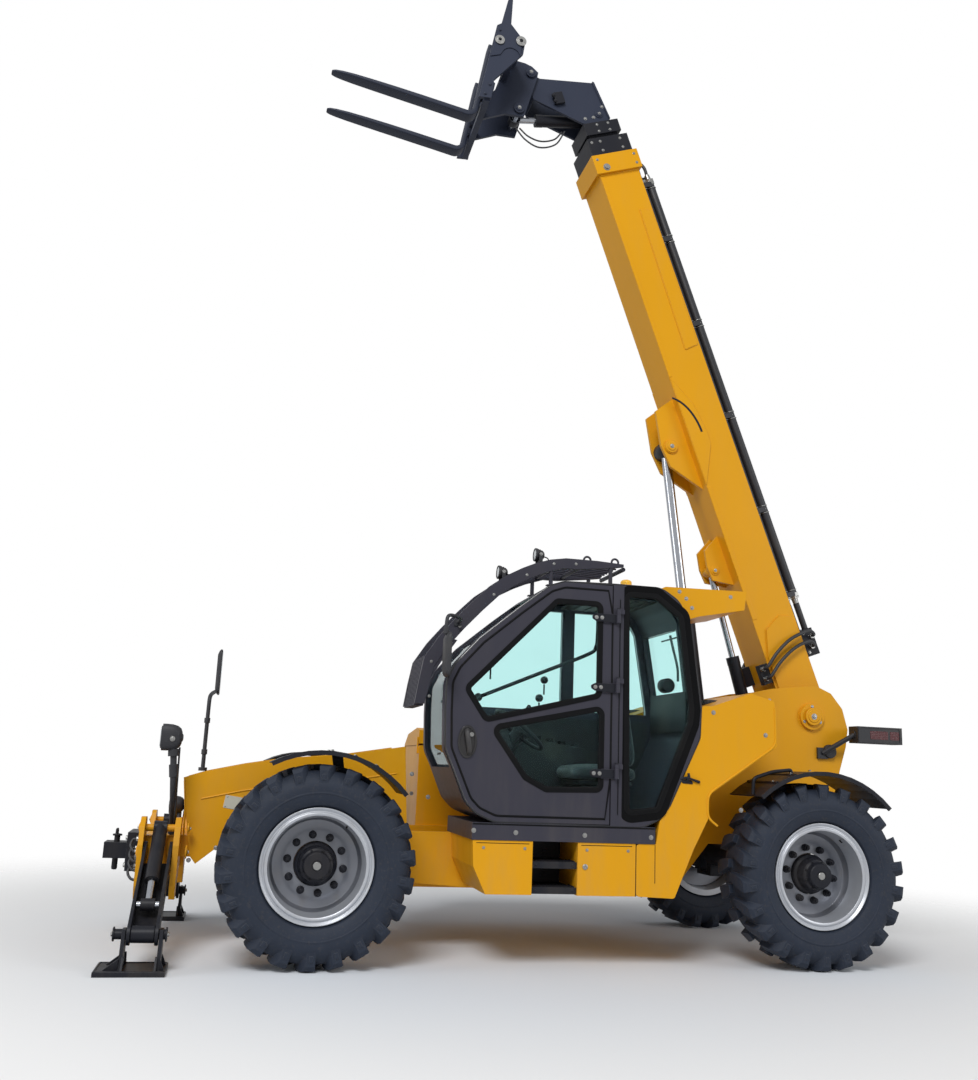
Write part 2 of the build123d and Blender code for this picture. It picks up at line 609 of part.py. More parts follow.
LEG_AT, LEG_ANGLE = leg_frame()
FOOT_Y = LEG_PIVOT[0] + LEG_L * cos(radians(LEG_ANGLE))
FOOT_Z = SOLE_DROP
CYL_TOP = (440, 740)        # Y, Z of the leg cylinder's upper pin
CYL_FOOT = 500              # its lower pin, along the leg
CYL_RISE = 30               # and above the leg's axis
CYL_PIN_R = 22
LEG_X = (2480, 2650)        # outer faces of the leg
LEG_WALL = 18
LEG_HALF = 60               # half the leg's depth
LEG_PIN_R = 28
LEG_CYL_R = 42
LEG_CYL_L = 430
LEG_ROD_R = 24
LEG_TRAVEL = 130            # how far the leg cylinder's rod slides in from where it stands
BEAM_HALF = 400


def stabiliser_frame():
    """Cross beam with a bracket at each end for the leg and its cylinder."""
    x0, x1 = BEAM_X
    mid = sum(LEG_X) / 2
    pocket = LEG_CYL_R + MOVE
    beam = block(x0, x1, -BEAM_HALF, BEAM_HALF, 450, 690)
    for side in (1, -1):
        y0, y1 = sorted((side * (BEAM_HALF - pocket - 12), side * (BEAM_HALF + 1)))
        beam -= block(mid - pocket, mid + pocket, y0, y1, 449, 691)
    shape = [(330, 440), (330, 690), (370, 790), (400, 805), (475, 805), (525, 750), (555, 640), (545, 400), (500, 320),
             (430, 320), (395, 440)]
    for xa, xb, wall, inner in ((x0 - 22, LEG_X[0] - 4, x0 - 22, LEG_X[0] + LEG_WALL),
                                (LEG_X[1] + 4, x1 + 14, x1 + 14, LEG_X[1] - LEG_WALL)):
        plate = cross_plate(shape, xa, xb)
        stub = rod_x(*LEG_PIVOT, *sorted((wall, inner)), LEG_PIN_R)
        beam += plate + mirrored(plate) + stub + mirrored(stub)
    pin = rod_x(*CYL_TOP, x0 - 22, x1 + 14, CYL_PIN_R)
    beam += pin + mirrored(pin)
    beam += block(2400, x0, -330, 330, 560, 690)
    return beam


def stabiliser_leg():
    """Left leg: a channel open on top, with eyes for its pivot and its foot."""
    x0, x1 = LEG_X
    wall = LEG_WALL
    leg = block(x0, x1, LEG_HALF, LEG_L - LEG_HALF, -LEG_HALF, LEG_HALF)
    leg -= block(x0 + wall, x1 - wall, 0, LEG_L, -LEG_HALF + wall, LEG_HALF + 1)
    for y in (0, LEG_L):
        leg += rod_x(y, 0, x0, x0 + wall, LEG_HALF) + rod_x(y, 0, x1 - wall, x1, LEG_HALF)
        a, b = (0, 100) if y == 0 else (LEG_L - 100, LEG_L)
        leg += block(x0, x0 + wall, a, b, -LEG_HALF, LEG_HALF) + block(x1 - wall, x1, a, b, -LEG_HALF, LEG_HALF)
    leg -= rod_x(0, 0, x0 - 1, x1 + 1, LEG_PIN_R + FIT)
    leg -= rod_x(LEG_L, 0, x0 - 1, x1 + 1, LEG_PIN_R + FIT)
    return LEG_AT * leg


def leg_cylinder():
    """Barrel hung from the bracket and rod that pushes the leg, left side."""
    a = radians(LEG_ANGLE)
    ey = LEG_PIVOT[0] + CYL_FOOT * cos(a) - CYL_RISE * sin(a)
    ez = LEG_PIVOT[1] + CYL_FOOT * sin(a) + CYL_RISE * cos(a)
    dy = ey - CYL_TOP[0]
    dz = ez - CYL_TOP[1]
    length = hypot(dy, dz)
    at = Pos(0, *CYL_TOP) * Rot(degrees(atan2(dz, dy)), 0, 0)
    mid = sum(LEG_X) / 2
    bottom = LEG_CYL_R + END_WALL
    barrel = rod_y(mid, 0, 0, LEG_CYL_L, LEG_CYL_R) + rod_x(0, 0, mid - 40, mid + 40, LEG_CYL_R)
    barrel -= rod_y(mid, 0, bottom, LEG_CYL_L + 1, LEG_ROD_R + FIT)
    barrel -= rod_x(0, 0, mid - 50, mid + 50, CYL_PIN_R + FIT)
    rod = rod_y(mid, 0, bottom + LEG_TRAVEL + 4, length, LEG_ROD_R)
    rod += rod_x(length, 0, mid - 40, mid + 40, 34) + rod_x(length, 0, LEG_X[0] + 22, LEG_X[1] - 22, 20)
    return at * barrel, at * rod


def foot():
    """Left foot: two lugs, a pin and a flanged sole."""
    x0, x1 = LEG_X
    sole = block(2420, 2800, FOOT_Y - 150, FOOT_Y + 150, 0, 25)
    for xa, xb in ((x0 - 26, x0 - 6), (x1 + 6, x1 + 26)):
        sole += cross_plate([(FOOT_Y - 90, 25), (FOOT_Y + 90, 25), (FOOT_Y + 40, FOOT_Z + 30), (FOOT_Y - 40, FOOT_Z + 30)], xa, xb)
    sole += rod_x(FOOT_Y, FOOT_Z, x0 - 40, x1 + 70, LEG_PIN_R)
    return sole


# ---- boom, built lying level with its pivot at the origin
def boom_box(step, u0, u1, grow=0):
    """Closed box of section number step (0 is the outer one), from u0 to u1."""
    shrink = step * (BOOM_WALL + SLIDE_GAP)
    half = BOOM_W / 2 - shrink + grow
    return block(u0, u1, -half, half, BOOM_LOW + shrink - grow, BOOM_HIGH - shrink + grow)


def section(step, tail, end, collar0, collar1):
    """Hollow boom section with its end collar and the wear pads that guide the next one."""
    body = boom_box(step, tail, end) + boom_box(step, collar0, collar1, grow=COLLAR_RIM)
    body -= boom_box(step, tail - 1, collar1 + 1, grow=-BOOM_WALL)
    pads = boom_box(step, collar0, collar1, grow=-BOOM_WALL + 1) - boom_box(step + 1, collar0 - 1, collar1 + 1, grow=SEAT)
    return body + pads


COLLAR_RIM = 28
COLLARS = [(BOOM_END - 20, BOOM_END + 140), (4730, 4880), (4925, 5030)]


# plates on the boom's sides (along the boom, above the pivot) and their thickness
BOOM_PLATES = [
    ([(-230, -80), (-230, 200), (300, 238), (620, 236), (740, 205), (772, 120), (700, -20), (500, -80)], 14),
    ([(1900, -97), (2200, 50), (2300, 56), (2540, 20), (2790, -97)], 9),
    ([(2990, 115), (3010, 232), (4180, 240), (4210, 140)], 7),
]


def boom_outer():
    """Outer boom section with its side plates, pivot tubes and cylinder brackets."""
    boom = section(0, BOOM_TAIL, BOOM_END, *COLLARS[0])
    for side in (1, -1):
        y0, y1 = sorted((side * BOOM_W / 2, side * (PLATE_Y - PLATE_T - 40 - 2)))
        boom += rod_y(0, 0, y0, y1, 90)
        for shape, thick in BOOM_PLATES:
            boom += side_plate(shape, *sorted((side * BOOM_W / 2, side * (BOOM_W / 2 + thick))))
    boom -= rod_y(0, 0, -400, 400, PIVOT_R + FIT)
    for side in (1, -1):
        y0, y1 = sorted((side * LIFT_LUG_Y[0], side * LIFT_LUG_Y[1]))
        boom += side_plate([(1880, BOOM_LOW), (2120, -300), (2300, -320), (2580, -270), (2640, BOOM_LOW)], y0, y1)
        near, far = sorted((side * LIFT_LUG_Y[0], side * (LIFT_LUG_Y[1] + 12)))
        boom += rod_y(*LIFT_EYE, near, far, 55)
        y0, y1 = sorted((side * COMP_LUG_Y[0], side * COMP_LUG_Y[1]))
        boom += side_plate([(1100, BOOM_LOW), (1180, -255), (1290, -265), (1420, -240), (1500, BOOM_LOW)], y0, y1)
    return BOOM_AT * boom


def boom_section(step):
    names = {1: COLLARS[1], 2: COLLARS[2]}
    return BOOM_AT * section(step, -100 + 60 * step, names[step][0], *names[step])


NOSE_HALF = 128


def boom_head():
    """Innermost section with the dropped nose that carries the tool."""
    step = 3
    body = boom_box(step, 80, 5055)
    body -= boom_box(step, 79, 5056, grow=-BOOM_WALL)
    shape = [(5050, -60), (5050, 178), (5390, 141), (5500, -300), (5580, -400), (5545, -440), (5330, -411)]
    for side in (1, -1):
        y0, y1 = sorted((side * (NOSE_HALF - 22), side * NOSE_HALF))
        body += side_plate(shape, y0, y1)
    body += block(5040, 5060, -NOSE_HALF, NOSE_HALF, -50, 178) - block(5030, 5080, -80, 80, -16, 164)
    body += block(5200, 5380, -NOSE_HALF, NOSE_HALF, 130, 145)
    body += rod_y(*HEAD_PIN, -NOSE_HALF, NOSE_HALF, 52)
    body -= rod_y(*HEAD_PIN, -NOSE_HALF - 1, NOSE_HALF + 1, 30 + FIT)
    body += rod_y(*TILT_BASE, -NOSE_HALF, NOSE_HALF, 22)
    return BOOM_AT * body


def boom_pipes():
    """Two pairs of hose tubes along the top of the boom, on their clamps."""
    top = BOOM_HIGH
    pipes = block(880, 920, -112, 112, top, top + 110)
    for u in (1600, 2400, 3200, 3950, 4440):
        pipes += block(u - 20, u + 20, -112, 112, top, top + 110)
    for y, rise, r in ((72, 112, 34), (-72, 112, 34), (78, 45, 24), (-78, 45, 24)):
        pipes += rod_x(y, top + rise, 860, 4490, r)
    return BOOM_AT * pipes


# ---- head
def carriage():
    """Side plates, fork shaft, cross bars and the two lugs round the boom's nose."""
    side = [(385, -562), (375, 100), (345, 130), (335, 370), (300, 370), (270, 150), (130, 30), (125, -75), (300, -377), (290, -540)]
    head = side_plate(side, HEAD_HALF - 25, HEAD_HALF) + side_plate(side, -HEAD_HALF, -HEAD_HALF + 25)
    inner = HEAD_HALF - 25
    head += rod_y(*SHAFT_AT, -HEAD_HALF - 12, HEAD_HALF + 12, SHAFT_R)
    head += rod_y(165, 20, -HEAD_HALF - 12, HEAD_HALF + 12, 30)
    head += block(295, 340, -inner, inner, -560, -470)
    head += block(180, 230, -inner, inner, -160, -60)
    lug = [(0, 65), (-60, 30), (-60, -30), (-25, -400), (130, -430), (300, -540), (335, -540), (335, -470), (235, -200), (235, -60), (180, 70), (60, 75)]
    for s in (1, -1):
        y0, y1 = sorted((s * (NOSE_HALF + MOVE), s * (NOSE_HALF + MOVE + 26)))
        head += side_plate(lug, y0, y1)
        near, far = sorted((s * (NOSE_HALF + MOVE + 26), s * (NOSE_HALF + MOVE + 38)))
        head += rod_y(*TILT_PIN, near, far, 36)
    head += rod_y(0, 0, -NOSE_HALF - MOVE - 40, NOSE_HALF + MOVE + 40, 30)
    return HEAD_AT * head


def tines():
    """Two forks hung on the fork shaft."""
    x = SHAFT_AT[0] + 25
    forks = []
    for s in (1, -1):
        y0 = s * TINE_Y - TINE_W / 2
        y1 = s * TINE_Y + TINE_W / 2
        shape = [(x, 20), (x + TINE_T, 20), (x + TINE_T, -585), (x + TINE_T + 15, -600), (x + TINE_L, -622), (x + TINE_L, -634),
                 (x + 620, -645), (x + 10, -645), (x, -635)]
        fork = side_plate(shape, y0, y1) + rod_y(*SHAFT_AT, y0, y1, 48)
        fork -= rod_y(*SHAFT_AT, y0 - 1, y1 + 1, SHAFT_R + FIT)
        forks.append(fork)
    return [HEAD_AT * f for f in forks]


def tilt_cylinder():
    base = on_boom(*TILT_BASE)
    eye = on_head(*TILT_PIN)
    return cylinder_pair(base, eye, TILT_R, TILT_ROD_R, 515, 80, 46, 22, NOSE_HALF + MOVE - 4, TILT_TRAVEL)


def lift_cylinder():
    half = LIFT_LUG_Y[0] - 3
    return cylinder_pair(LIFT_BASE, on_boom(*LIFT_EYE), LIFT_R, LIFT_ROD_R, 1450, 2 * half, 70, 35, half, LIFT_TRAVEL)


def comp_cylinder():
    half = COMP_LUG_Y[0] - 3
    return cylinder_pair(COMP_BASE, on_boom(*COMP_EYE), COMP_R, COMP_ROD_R, 880, 2 * half, 45, 25, half, COMP_TRAVEL)


def write(name, shape):
    pieces = shape if isinstance(shape, (list, tuple)) else [shape]
    solids = [s for piece in pieces for s in piece.solids()]
    moved = [Pos(-ORIGIN_X, 0, 0) * s for s in solids]
    export_step(moved[0] if len(moved) == 1 else Compound(children=moved), f"parts/{name}.step")


def main():
    os.makedirs("parts", exist_ok=True)
    for name, make in (
        ("chassis_frame", chassis_frame), ("side_boxes", side_boxes), ("step_left", step_left),
        ("rear_body", rear_body), ("engine_pod", engine_pod), ("engine_block", engine_block), ("hood", hood),
        ("cab_frame", cab_frame), ("cab_floor", cab_floor), ("cab_glass", cab_glass), ("door", door),
        ("door_glass", door_glass), ("seat", seat), ("controls", controls), ("roof_guard", roof_guard),
        ("cab_cowl", cab_cowl), ("beacon", beacon), ("work_lamps", work_lamps), ("mirrors", mirrors),
        ("headlamps", headlamps), ("tail_lamps", tail_lamps), ("tow_hitch", tow_hitch),
        ("stabiliser_frame", stabiliser_frame), ("boom_outer", boom_outer), ("boom_head", boom_head),
        ("boom_pipes", boom_pipes), ("carriage", carriage), ("tines", tines),
    ):
        write(name, make())
    write("boom_section_2", boom_section(1))
    write("boom_section_3", boom_section(2))
    for name, pair in (("tilt", tilt_cylinder()), ("lift", lift_cylinder()), ("comp", comp_cylinder())):
        write(f"{name}_barrel", pair[0])
        write(f"{name}_rod", pair[1])
    barrel, rod = leg_cylinder()
    for name, shape in (("stab_leg", stabiliser_leg()), ("stab_barrel", barrel), ("stab_rod", rod), ("stab_foot", foot())):
        write(f"{name}_left", shape)
        write(f"{name}_right", mirrored(shape))
    rubber = tyre()
    for end, x in (("front", AXLE_X), ("rear", -AXLE_X)):
        write(f"axle_{end}", axle(x))
        round_hub = Pos(x, TYRE_OUTER_Y - TYRE_W / 2, AXLE_Z)
        for name, shape in (("knuckle", knuckle(x, *FENDERS[end])), ("tyre", round_hub * rubber), ("rim", rim(x))):
            write(f"{name}_{end}_left", shape)
            write(f"{name}_{end}_right", mirrored(shape))


main()
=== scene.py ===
import sys
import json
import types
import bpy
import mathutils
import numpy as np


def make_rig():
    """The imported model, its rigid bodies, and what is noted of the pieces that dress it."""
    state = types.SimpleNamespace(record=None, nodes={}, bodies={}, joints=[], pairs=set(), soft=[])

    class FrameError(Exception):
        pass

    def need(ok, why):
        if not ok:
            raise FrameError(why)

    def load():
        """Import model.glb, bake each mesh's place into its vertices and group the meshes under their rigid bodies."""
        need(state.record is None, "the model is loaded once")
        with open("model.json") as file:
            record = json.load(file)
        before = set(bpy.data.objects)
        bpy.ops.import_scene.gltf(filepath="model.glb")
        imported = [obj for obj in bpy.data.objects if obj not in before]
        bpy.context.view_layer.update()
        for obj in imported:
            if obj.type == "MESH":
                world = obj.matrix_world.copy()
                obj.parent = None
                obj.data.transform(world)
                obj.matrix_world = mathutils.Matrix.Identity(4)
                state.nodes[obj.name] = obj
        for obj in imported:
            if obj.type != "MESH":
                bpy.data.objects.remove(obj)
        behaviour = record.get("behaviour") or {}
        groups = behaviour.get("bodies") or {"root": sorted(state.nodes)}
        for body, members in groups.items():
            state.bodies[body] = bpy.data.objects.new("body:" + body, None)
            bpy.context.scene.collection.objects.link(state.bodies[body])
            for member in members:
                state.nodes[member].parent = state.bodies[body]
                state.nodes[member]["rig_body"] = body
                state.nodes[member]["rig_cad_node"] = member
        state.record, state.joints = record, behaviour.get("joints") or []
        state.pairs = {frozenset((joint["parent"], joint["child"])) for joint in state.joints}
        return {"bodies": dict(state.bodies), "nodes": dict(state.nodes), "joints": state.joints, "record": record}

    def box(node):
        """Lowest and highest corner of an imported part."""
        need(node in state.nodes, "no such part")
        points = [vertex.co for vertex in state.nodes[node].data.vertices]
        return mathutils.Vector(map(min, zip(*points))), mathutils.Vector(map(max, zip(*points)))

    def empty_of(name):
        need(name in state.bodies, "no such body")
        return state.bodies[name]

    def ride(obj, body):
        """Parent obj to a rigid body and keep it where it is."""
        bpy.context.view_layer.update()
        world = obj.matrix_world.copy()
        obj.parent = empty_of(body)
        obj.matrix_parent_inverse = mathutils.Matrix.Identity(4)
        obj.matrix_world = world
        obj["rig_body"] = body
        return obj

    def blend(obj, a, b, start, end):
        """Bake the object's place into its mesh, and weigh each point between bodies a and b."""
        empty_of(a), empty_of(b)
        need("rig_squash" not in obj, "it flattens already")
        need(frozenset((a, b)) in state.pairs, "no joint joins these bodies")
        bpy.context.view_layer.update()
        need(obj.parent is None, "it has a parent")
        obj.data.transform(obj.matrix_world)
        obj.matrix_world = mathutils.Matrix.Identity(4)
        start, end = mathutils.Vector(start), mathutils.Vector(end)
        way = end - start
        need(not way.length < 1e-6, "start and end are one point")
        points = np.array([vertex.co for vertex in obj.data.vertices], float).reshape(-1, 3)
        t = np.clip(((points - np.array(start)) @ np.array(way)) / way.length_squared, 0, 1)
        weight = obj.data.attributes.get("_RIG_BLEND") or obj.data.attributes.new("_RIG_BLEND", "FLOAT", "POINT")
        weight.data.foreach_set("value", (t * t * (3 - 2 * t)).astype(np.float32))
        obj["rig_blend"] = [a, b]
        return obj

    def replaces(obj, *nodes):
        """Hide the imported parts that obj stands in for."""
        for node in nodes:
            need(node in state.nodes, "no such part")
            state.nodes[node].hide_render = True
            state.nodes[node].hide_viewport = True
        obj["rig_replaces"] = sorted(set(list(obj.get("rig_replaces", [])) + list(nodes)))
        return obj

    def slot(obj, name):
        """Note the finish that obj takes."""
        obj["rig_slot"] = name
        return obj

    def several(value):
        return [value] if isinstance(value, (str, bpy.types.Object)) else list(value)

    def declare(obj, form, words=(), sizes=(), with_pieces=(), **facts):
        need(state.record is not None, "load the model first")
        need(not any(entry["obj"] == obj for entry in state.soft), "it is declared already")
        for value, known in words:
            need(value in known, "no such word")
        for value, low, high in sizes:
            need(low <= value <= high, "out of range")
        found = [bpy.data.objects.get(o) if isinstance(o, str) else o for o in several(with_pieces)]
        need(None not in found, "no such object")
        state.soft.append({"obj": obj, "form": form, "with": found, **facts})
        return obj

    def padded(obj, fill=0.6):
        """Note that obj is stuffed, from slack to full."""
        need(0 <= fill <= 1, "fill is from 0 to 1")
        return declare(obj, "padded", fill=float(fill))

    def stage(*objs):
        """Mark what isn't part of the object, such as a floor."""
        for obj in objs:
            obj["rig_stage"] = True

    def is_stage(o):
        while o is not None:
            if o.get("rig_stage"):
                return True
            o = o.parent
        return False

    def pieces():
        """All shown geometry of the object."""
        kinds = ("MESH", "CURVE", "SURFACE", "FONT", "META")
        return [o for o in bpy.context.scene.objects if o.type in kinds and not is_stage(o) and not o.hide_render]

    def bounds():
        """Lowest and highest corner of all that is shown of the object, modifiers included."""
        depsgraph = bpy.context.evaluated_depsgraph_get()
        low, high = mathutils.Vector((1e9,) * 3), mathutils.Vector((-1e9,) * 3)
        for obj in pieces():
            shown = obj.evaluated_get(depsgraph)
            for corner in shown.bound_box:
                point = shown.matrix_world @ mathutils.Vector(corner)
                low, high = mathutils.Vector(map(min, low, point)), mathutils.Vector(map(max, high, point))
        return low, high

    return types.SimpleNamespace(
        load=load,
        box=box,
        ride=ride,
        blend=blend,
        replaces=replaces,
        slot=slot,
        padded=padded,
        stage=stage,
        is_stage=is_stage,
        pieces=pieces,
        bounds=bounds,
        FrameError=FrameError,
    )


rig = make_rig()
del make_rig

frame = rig.load()

import json
from copy import copy
from math import cos, pi, radians, sin

import bmesh
import bpy
from bpy.props import FloatProperty, FloatVectorProperty, IntProperty, PointerProperty
from bpy.types import Operator, Panel, PropertyGroup
from mathutils import Matrix, Vector

bl_info = {
    "name": "Telehandler dressing",
    "version": (1, 0, 0),
    "blender": (4, 5, 0),
    "location": "3D View > Sidebar > Telehandler",
    "description": "Finishes and small parts for a telehandler's solid model",
    "category": "Object",
}

CAD_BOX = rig.bounds()
JOINT = {joint["name"]: joint for joint in frame["joints"]}
NODES = frame["nodes"]
SIDES = (("left", 1), ("right", -1))
ENDS = ("front", "rear")
BOTH = (1, -1)               # left and right as signs of Y
FRAME_SIDE = 0.36            # outer face of the frame plates
PANEL_SIDE = 1.045           # outer face of the boxes and tanks


# ---------------------------------------------------------------- places taken from the frame
def spot(joint):
    return Vector(JOINT[joint]["pos_m"])


def frame_matrix(origin, forward):
    """Place whose X runs along forward, Y to the left and Z square to both."""
    x = Vector(forward).normalized()
    y = Vector((0, 1, 0))
    return Matrix.Translation(origin) @ Matrix((x, y, x.cross(y))).transposed().to_4x4()


BOOM_DIR = Vector(JOINT["telescope_1"]["axis"])
BOOM = frame_matrix(spot("boom_lift"), BOOM_DIR)
TINE_TIP = radians(9.5)                 # tines stand tipped back
HEAD = frame_matrix(spot("carriage_tilt"), (cos(TINE_TIP), 0, sin(TINE_TIP)))


def hull(points):
    """Outer line of flat points, anticlockwise."""
    points = sorted(set(points))

    def half(seq):
        line = []
        for p in seq:
            while len(line) > 1 and ((line[-1][0] - line[-2][0]) * (p[1] - line[-2][1])
                                     - (line[-1][1] - line[-2][1]) * (p[0] - line[-2][0])) <= 0:
                line.pop()
            line.append(p)
        return line[:-1]

    return half(points) + half(points[::-1])


def side_hull(nodes, y_from, y_to=9.0):
    """Outline in the side view of what these nodes have between two values of Y."""
    found = []
    for name in nodes:
        for v in NODES[name].data.vertices:
            if y_from <= v.co.y <= y_to:
                found.append((round(v.co.x, 4), round(v.co.z, 4)))
    return hull(found)


def panes(node):
    """Side outlines of a node's separate flat panes, as (outline, Y of the outer face)."""
    mesh = bmesh.new()
    mesh.from_mesh(NODES[node].data)
    bmesh.ops.remove_doubles(mesh, verts=mesh.verts, dist=1e-5)
    left = dict.fromkeys(mesh.verts)        # in the mesh's order, so that the panes always come in the same one
    found = []
    while left:
        todo = [next(iter(left))]
        group = set(todo)
        while todo:
            v = todo.pop()
            del left[v]
            for e in v.link_edges:
                o = e.other_vert(v)
                if o not in group:
                    group.add(o)
                    todo.append(o)
        ys = [v.co.y for v in group]
        if max(ys) - min(ys) < 0.02:
            line = hull([(round(v.co.x, 4), round(v.co.z, 4)) for v in group])
            found.append((line, max(ys)))
    mesh.free()
    return found


def inset(line, by):
    """A convex outline (anticlockwise) moved inwards."""
    moved = []
    n = len(line)
    for i in range(n):
        a, b, c = Vector(line[i - 1]), Vector(line[i]), Vector(line[(i + 1) % n])
        d1, d2 = (b - a).normalized(), (c - b).normalized()
        n1, n2 = Vector((-d1.y, d1.x)), Vector((-d2.y, d2.x))
        k = by / max(0.3, 1 + n1.dot(n2))
        moved.append(tuple(b + (n1 + n2) * k))
    return moved


def corner(a, b, c, radius, steps):
    """Arc that takes the place of corner b between a and c."""
    a, b, c = Vector(a), Vector(b), Vector(c)
    u, v = a - b, c - b
    cut = min(radius, 0.45 * u.length, 0.45 * v.length)
    p, q = b + u.normalized() * cut, b + v.normalized() * cut
    return [tuple(p * (1 - t) ** 2 + b * 2 * t * (1 - t) + q * t * t) for t in (k / steps for k in range(steps + 1))]


def rounded(line, radius, steps=5):
    """A closed outline with its corners turned into arcs."""
    after = [*line[1:], line[0]]
    return [p for i, b in enumerate(line) for p in corner(line[i - 1], b, after[i], radius, steps)]


def rounded_line(line, radius, steps=4):
    """An open line with its inner corners turned into arcs."""
    arcs = [p for three in zip(line, line[1:], line[2:]) for p in corner(*three, radius, steps)]
    return [line[0], *arcs, line[-1]]


def slab(a0, a1, b0, b1, radius, steps=5):
    """A rectangle with round corners."""
    return rounded([(a0, b0), (a1, b0), (a1, b1), (a0, b1)], radius, steps)


def smooth_path(points, steps=8):
    """Catmull-Rom line through a few points."""
    pts = [Vector(p) for p in points]
    pts = [2 * pts[0] - pts[1]] + pts + [2 * pts[-1] - pts[-2]]
    out = []
    for i in range(1, len(pts) - 2):
        a, b, c, d = pts[i - 1:i + 3]
        for k in range(steps):
            t = k / steps
            out.append(0.5 * (2 * b + (c - a) * t + (2 * a - 5 * b + 4 * c - d) * t * t
                              + (3 * b - a - 3 * c + d) * t ** 3))
    out.append(pts[-2])
    return out


# ---------------------------------------------------------------- mesh builder
class Build:
    """A mesh in the making: forms are added in metres, then it becomes a piece that rides on a body."""

    def __init__(self, at=None):
        self.mesh = bmesh.new()
        self.at = at or Matrix.Identity(4)
        self.finish_index = 0

    def _face(self, verts):
        face = self.mesh.faces.new(verts)
        face.material_index = self.finish_index
        return face

    def loops(self, rings, caps=True, wrap=False):
        """Joins rings of points, one after the other; wrap joins the last to the first instead of closing the ends."""
        rows = [[self.mesh.verts.new(self.at @ Vector(p)) for p in ring] for ring in rings]
        n = len(rows[0])
        for a, b in zip(rows, rows[1:] + (rows[:1] if wrap else [])):
            for i in range(n):
                j = (i + 1) % n
                self._face((a[i], a[j], b[j], b[i]))
        if caps and not wrap:
            self._face(rows[0][::-1])
            self._face(rows[-1])
        return self

    def at_place(self, place):
        """The same mesh in the making, with its next forms at another place."""
        other = copy(self)
        other.at = place
        return other

    def side(self, outline, y0, y1):
        return self.loops([[(x, y, z) for x, z in outline] for y in (y0, y1)])

    def cross(self, outline, x0, x1):
        return self.loops([[(x, y, z) for y, z in outline] for x in (x0, x1)])

    def band(self, outer, inner, y0, y1):
        """Flat ring between two side outlines of as many points."""
        return self.loops([[(x, y, z) for x, z in line]
                           for line, y in ((inner, y0), (outer, y0), (outer, y1), (inner, y1))], wrap=True)

    def box(self, x0, x1, y0, y1, z0, z1):
        return self.loops([[(x0, y, z0), (x1, y, z0), (x1, y, z1), (x0, y, z1)] for y in (y0, y1)])

    def tube(self, points, radius, sides=12, closed=False, flat=1.0):
        """Round bar along a line; flat squeezes it along its second axis."""
        pts = [Vector(p) for p in points]
        n = len(pts)
        radii = radius if isinstance(radius, (list, tuple)) else [radius] * n
        rings, normal = [], None
        for i, p in enumerate(pts):
            ahead = pts[(i + 1) % n] if closed or i < n - 1 else p
            behind = pts[i - 1] if closed or i else p
            along = (ahead - behind).normalized()
            if normal is None:
                normal = along.orthogonal().normalized()
            normal = (normal - along * normal.dot(along)).normalized()
            across = along.cross(normal)
            rings.append([p + radii[i] * (cos(2 * pi * k / sides) * normal + flat * sin(2 * pi * k / sides) * across)
                          for k in range(sides)])
        return self.loops(rings, wrap=closed)

    def turned(self, profile, steps=48, closed=False):
        """Profile of (radius, along) turned about the local Y axis."""
        rings = [[(r * cos(2 * pi * k / steps), y, r * sin(2 * pi * k / steps)) for k in range(steps)]
                 for r, y in profile]
        return self.loops(rings, wrap=closed)

    def bolt(self, place, out=(0, 1, 0), radius=0.012, height=0.008, washer=1.5):
        """Hexagon head with its washer, standing on a surface."""
        out = Vector(out).normalized()
        a = out.orthogonal().normalized()
        b = out.cross(a)
        place = Vector(place)

        def ring(r, h, sides):
            return [place + out * h + r * (cos(2 * pi * k / sides) * a + sin(2 * pi * k / sides) * b)
                    for k in range(sides)]

        if washer:
            self.loops([ring(radius * washer, 0, 16), ring(radius * washer, 0.2 * height, 16)])
        self.loops([ring(radius, 0.2 * height, 6), ring(radius, height, 6), ring(radius * 0.85, height * 1.15, 6)])
        return self

    def piece(self, name, body, finishes, slot=None, bevel=0.0, sections=2, stands_for=(), angle=35, subdivide=0,
              bends=None):
        """Ends the mesh as an object with its finishes and edges; it rides on a body or bends between two."""
        bmesh.ops.recalc_face_normals(self.mesh, faces=self.mesh.faces)
        data = bpy.data.meshes.new(name)
        self.mesh.to_mesh(data)
        self.mesh.free()
        thing = bpy.data.objects.new(name, data)
        bpy.context.scene.collection.objects.link(thing)
        for look in finishes if isinstance(finishes, (list, tuple)) else [finishes]:
            data.materials.append(LOOKS[look])
        data.polygons.foreach_set("use_smooth", [True] * len(data.polygons))
        data.set_sharp_from_angle(angle=radians(angle))
        if bevel:
            edge = thing.modifiers.new("edges", "BEVEL")
            edge.width = bevel
            edge.segments = sections
            edge.limit_method = "ANGLE"
            edge.angle_limit = radians(38)
            edge.harden_normals = True
        if subdivide:
            soft = thing.modifiers.new("soft", "SUBSURF")
            soft.levels = soft.render_levels = subdivide
        if bends:
            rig.blend(thing, *bends)
        else:
            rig.ride(thing, body)
        if stands_for:
            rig.replaces(thing, *([stands_for] if isinstance(stands_for, str) else stands_for))
        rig.slot(thing, slot or SLOT_OF_FINISH[finishes if isinstance(finishes, str) else finishes[0]])
        return thing


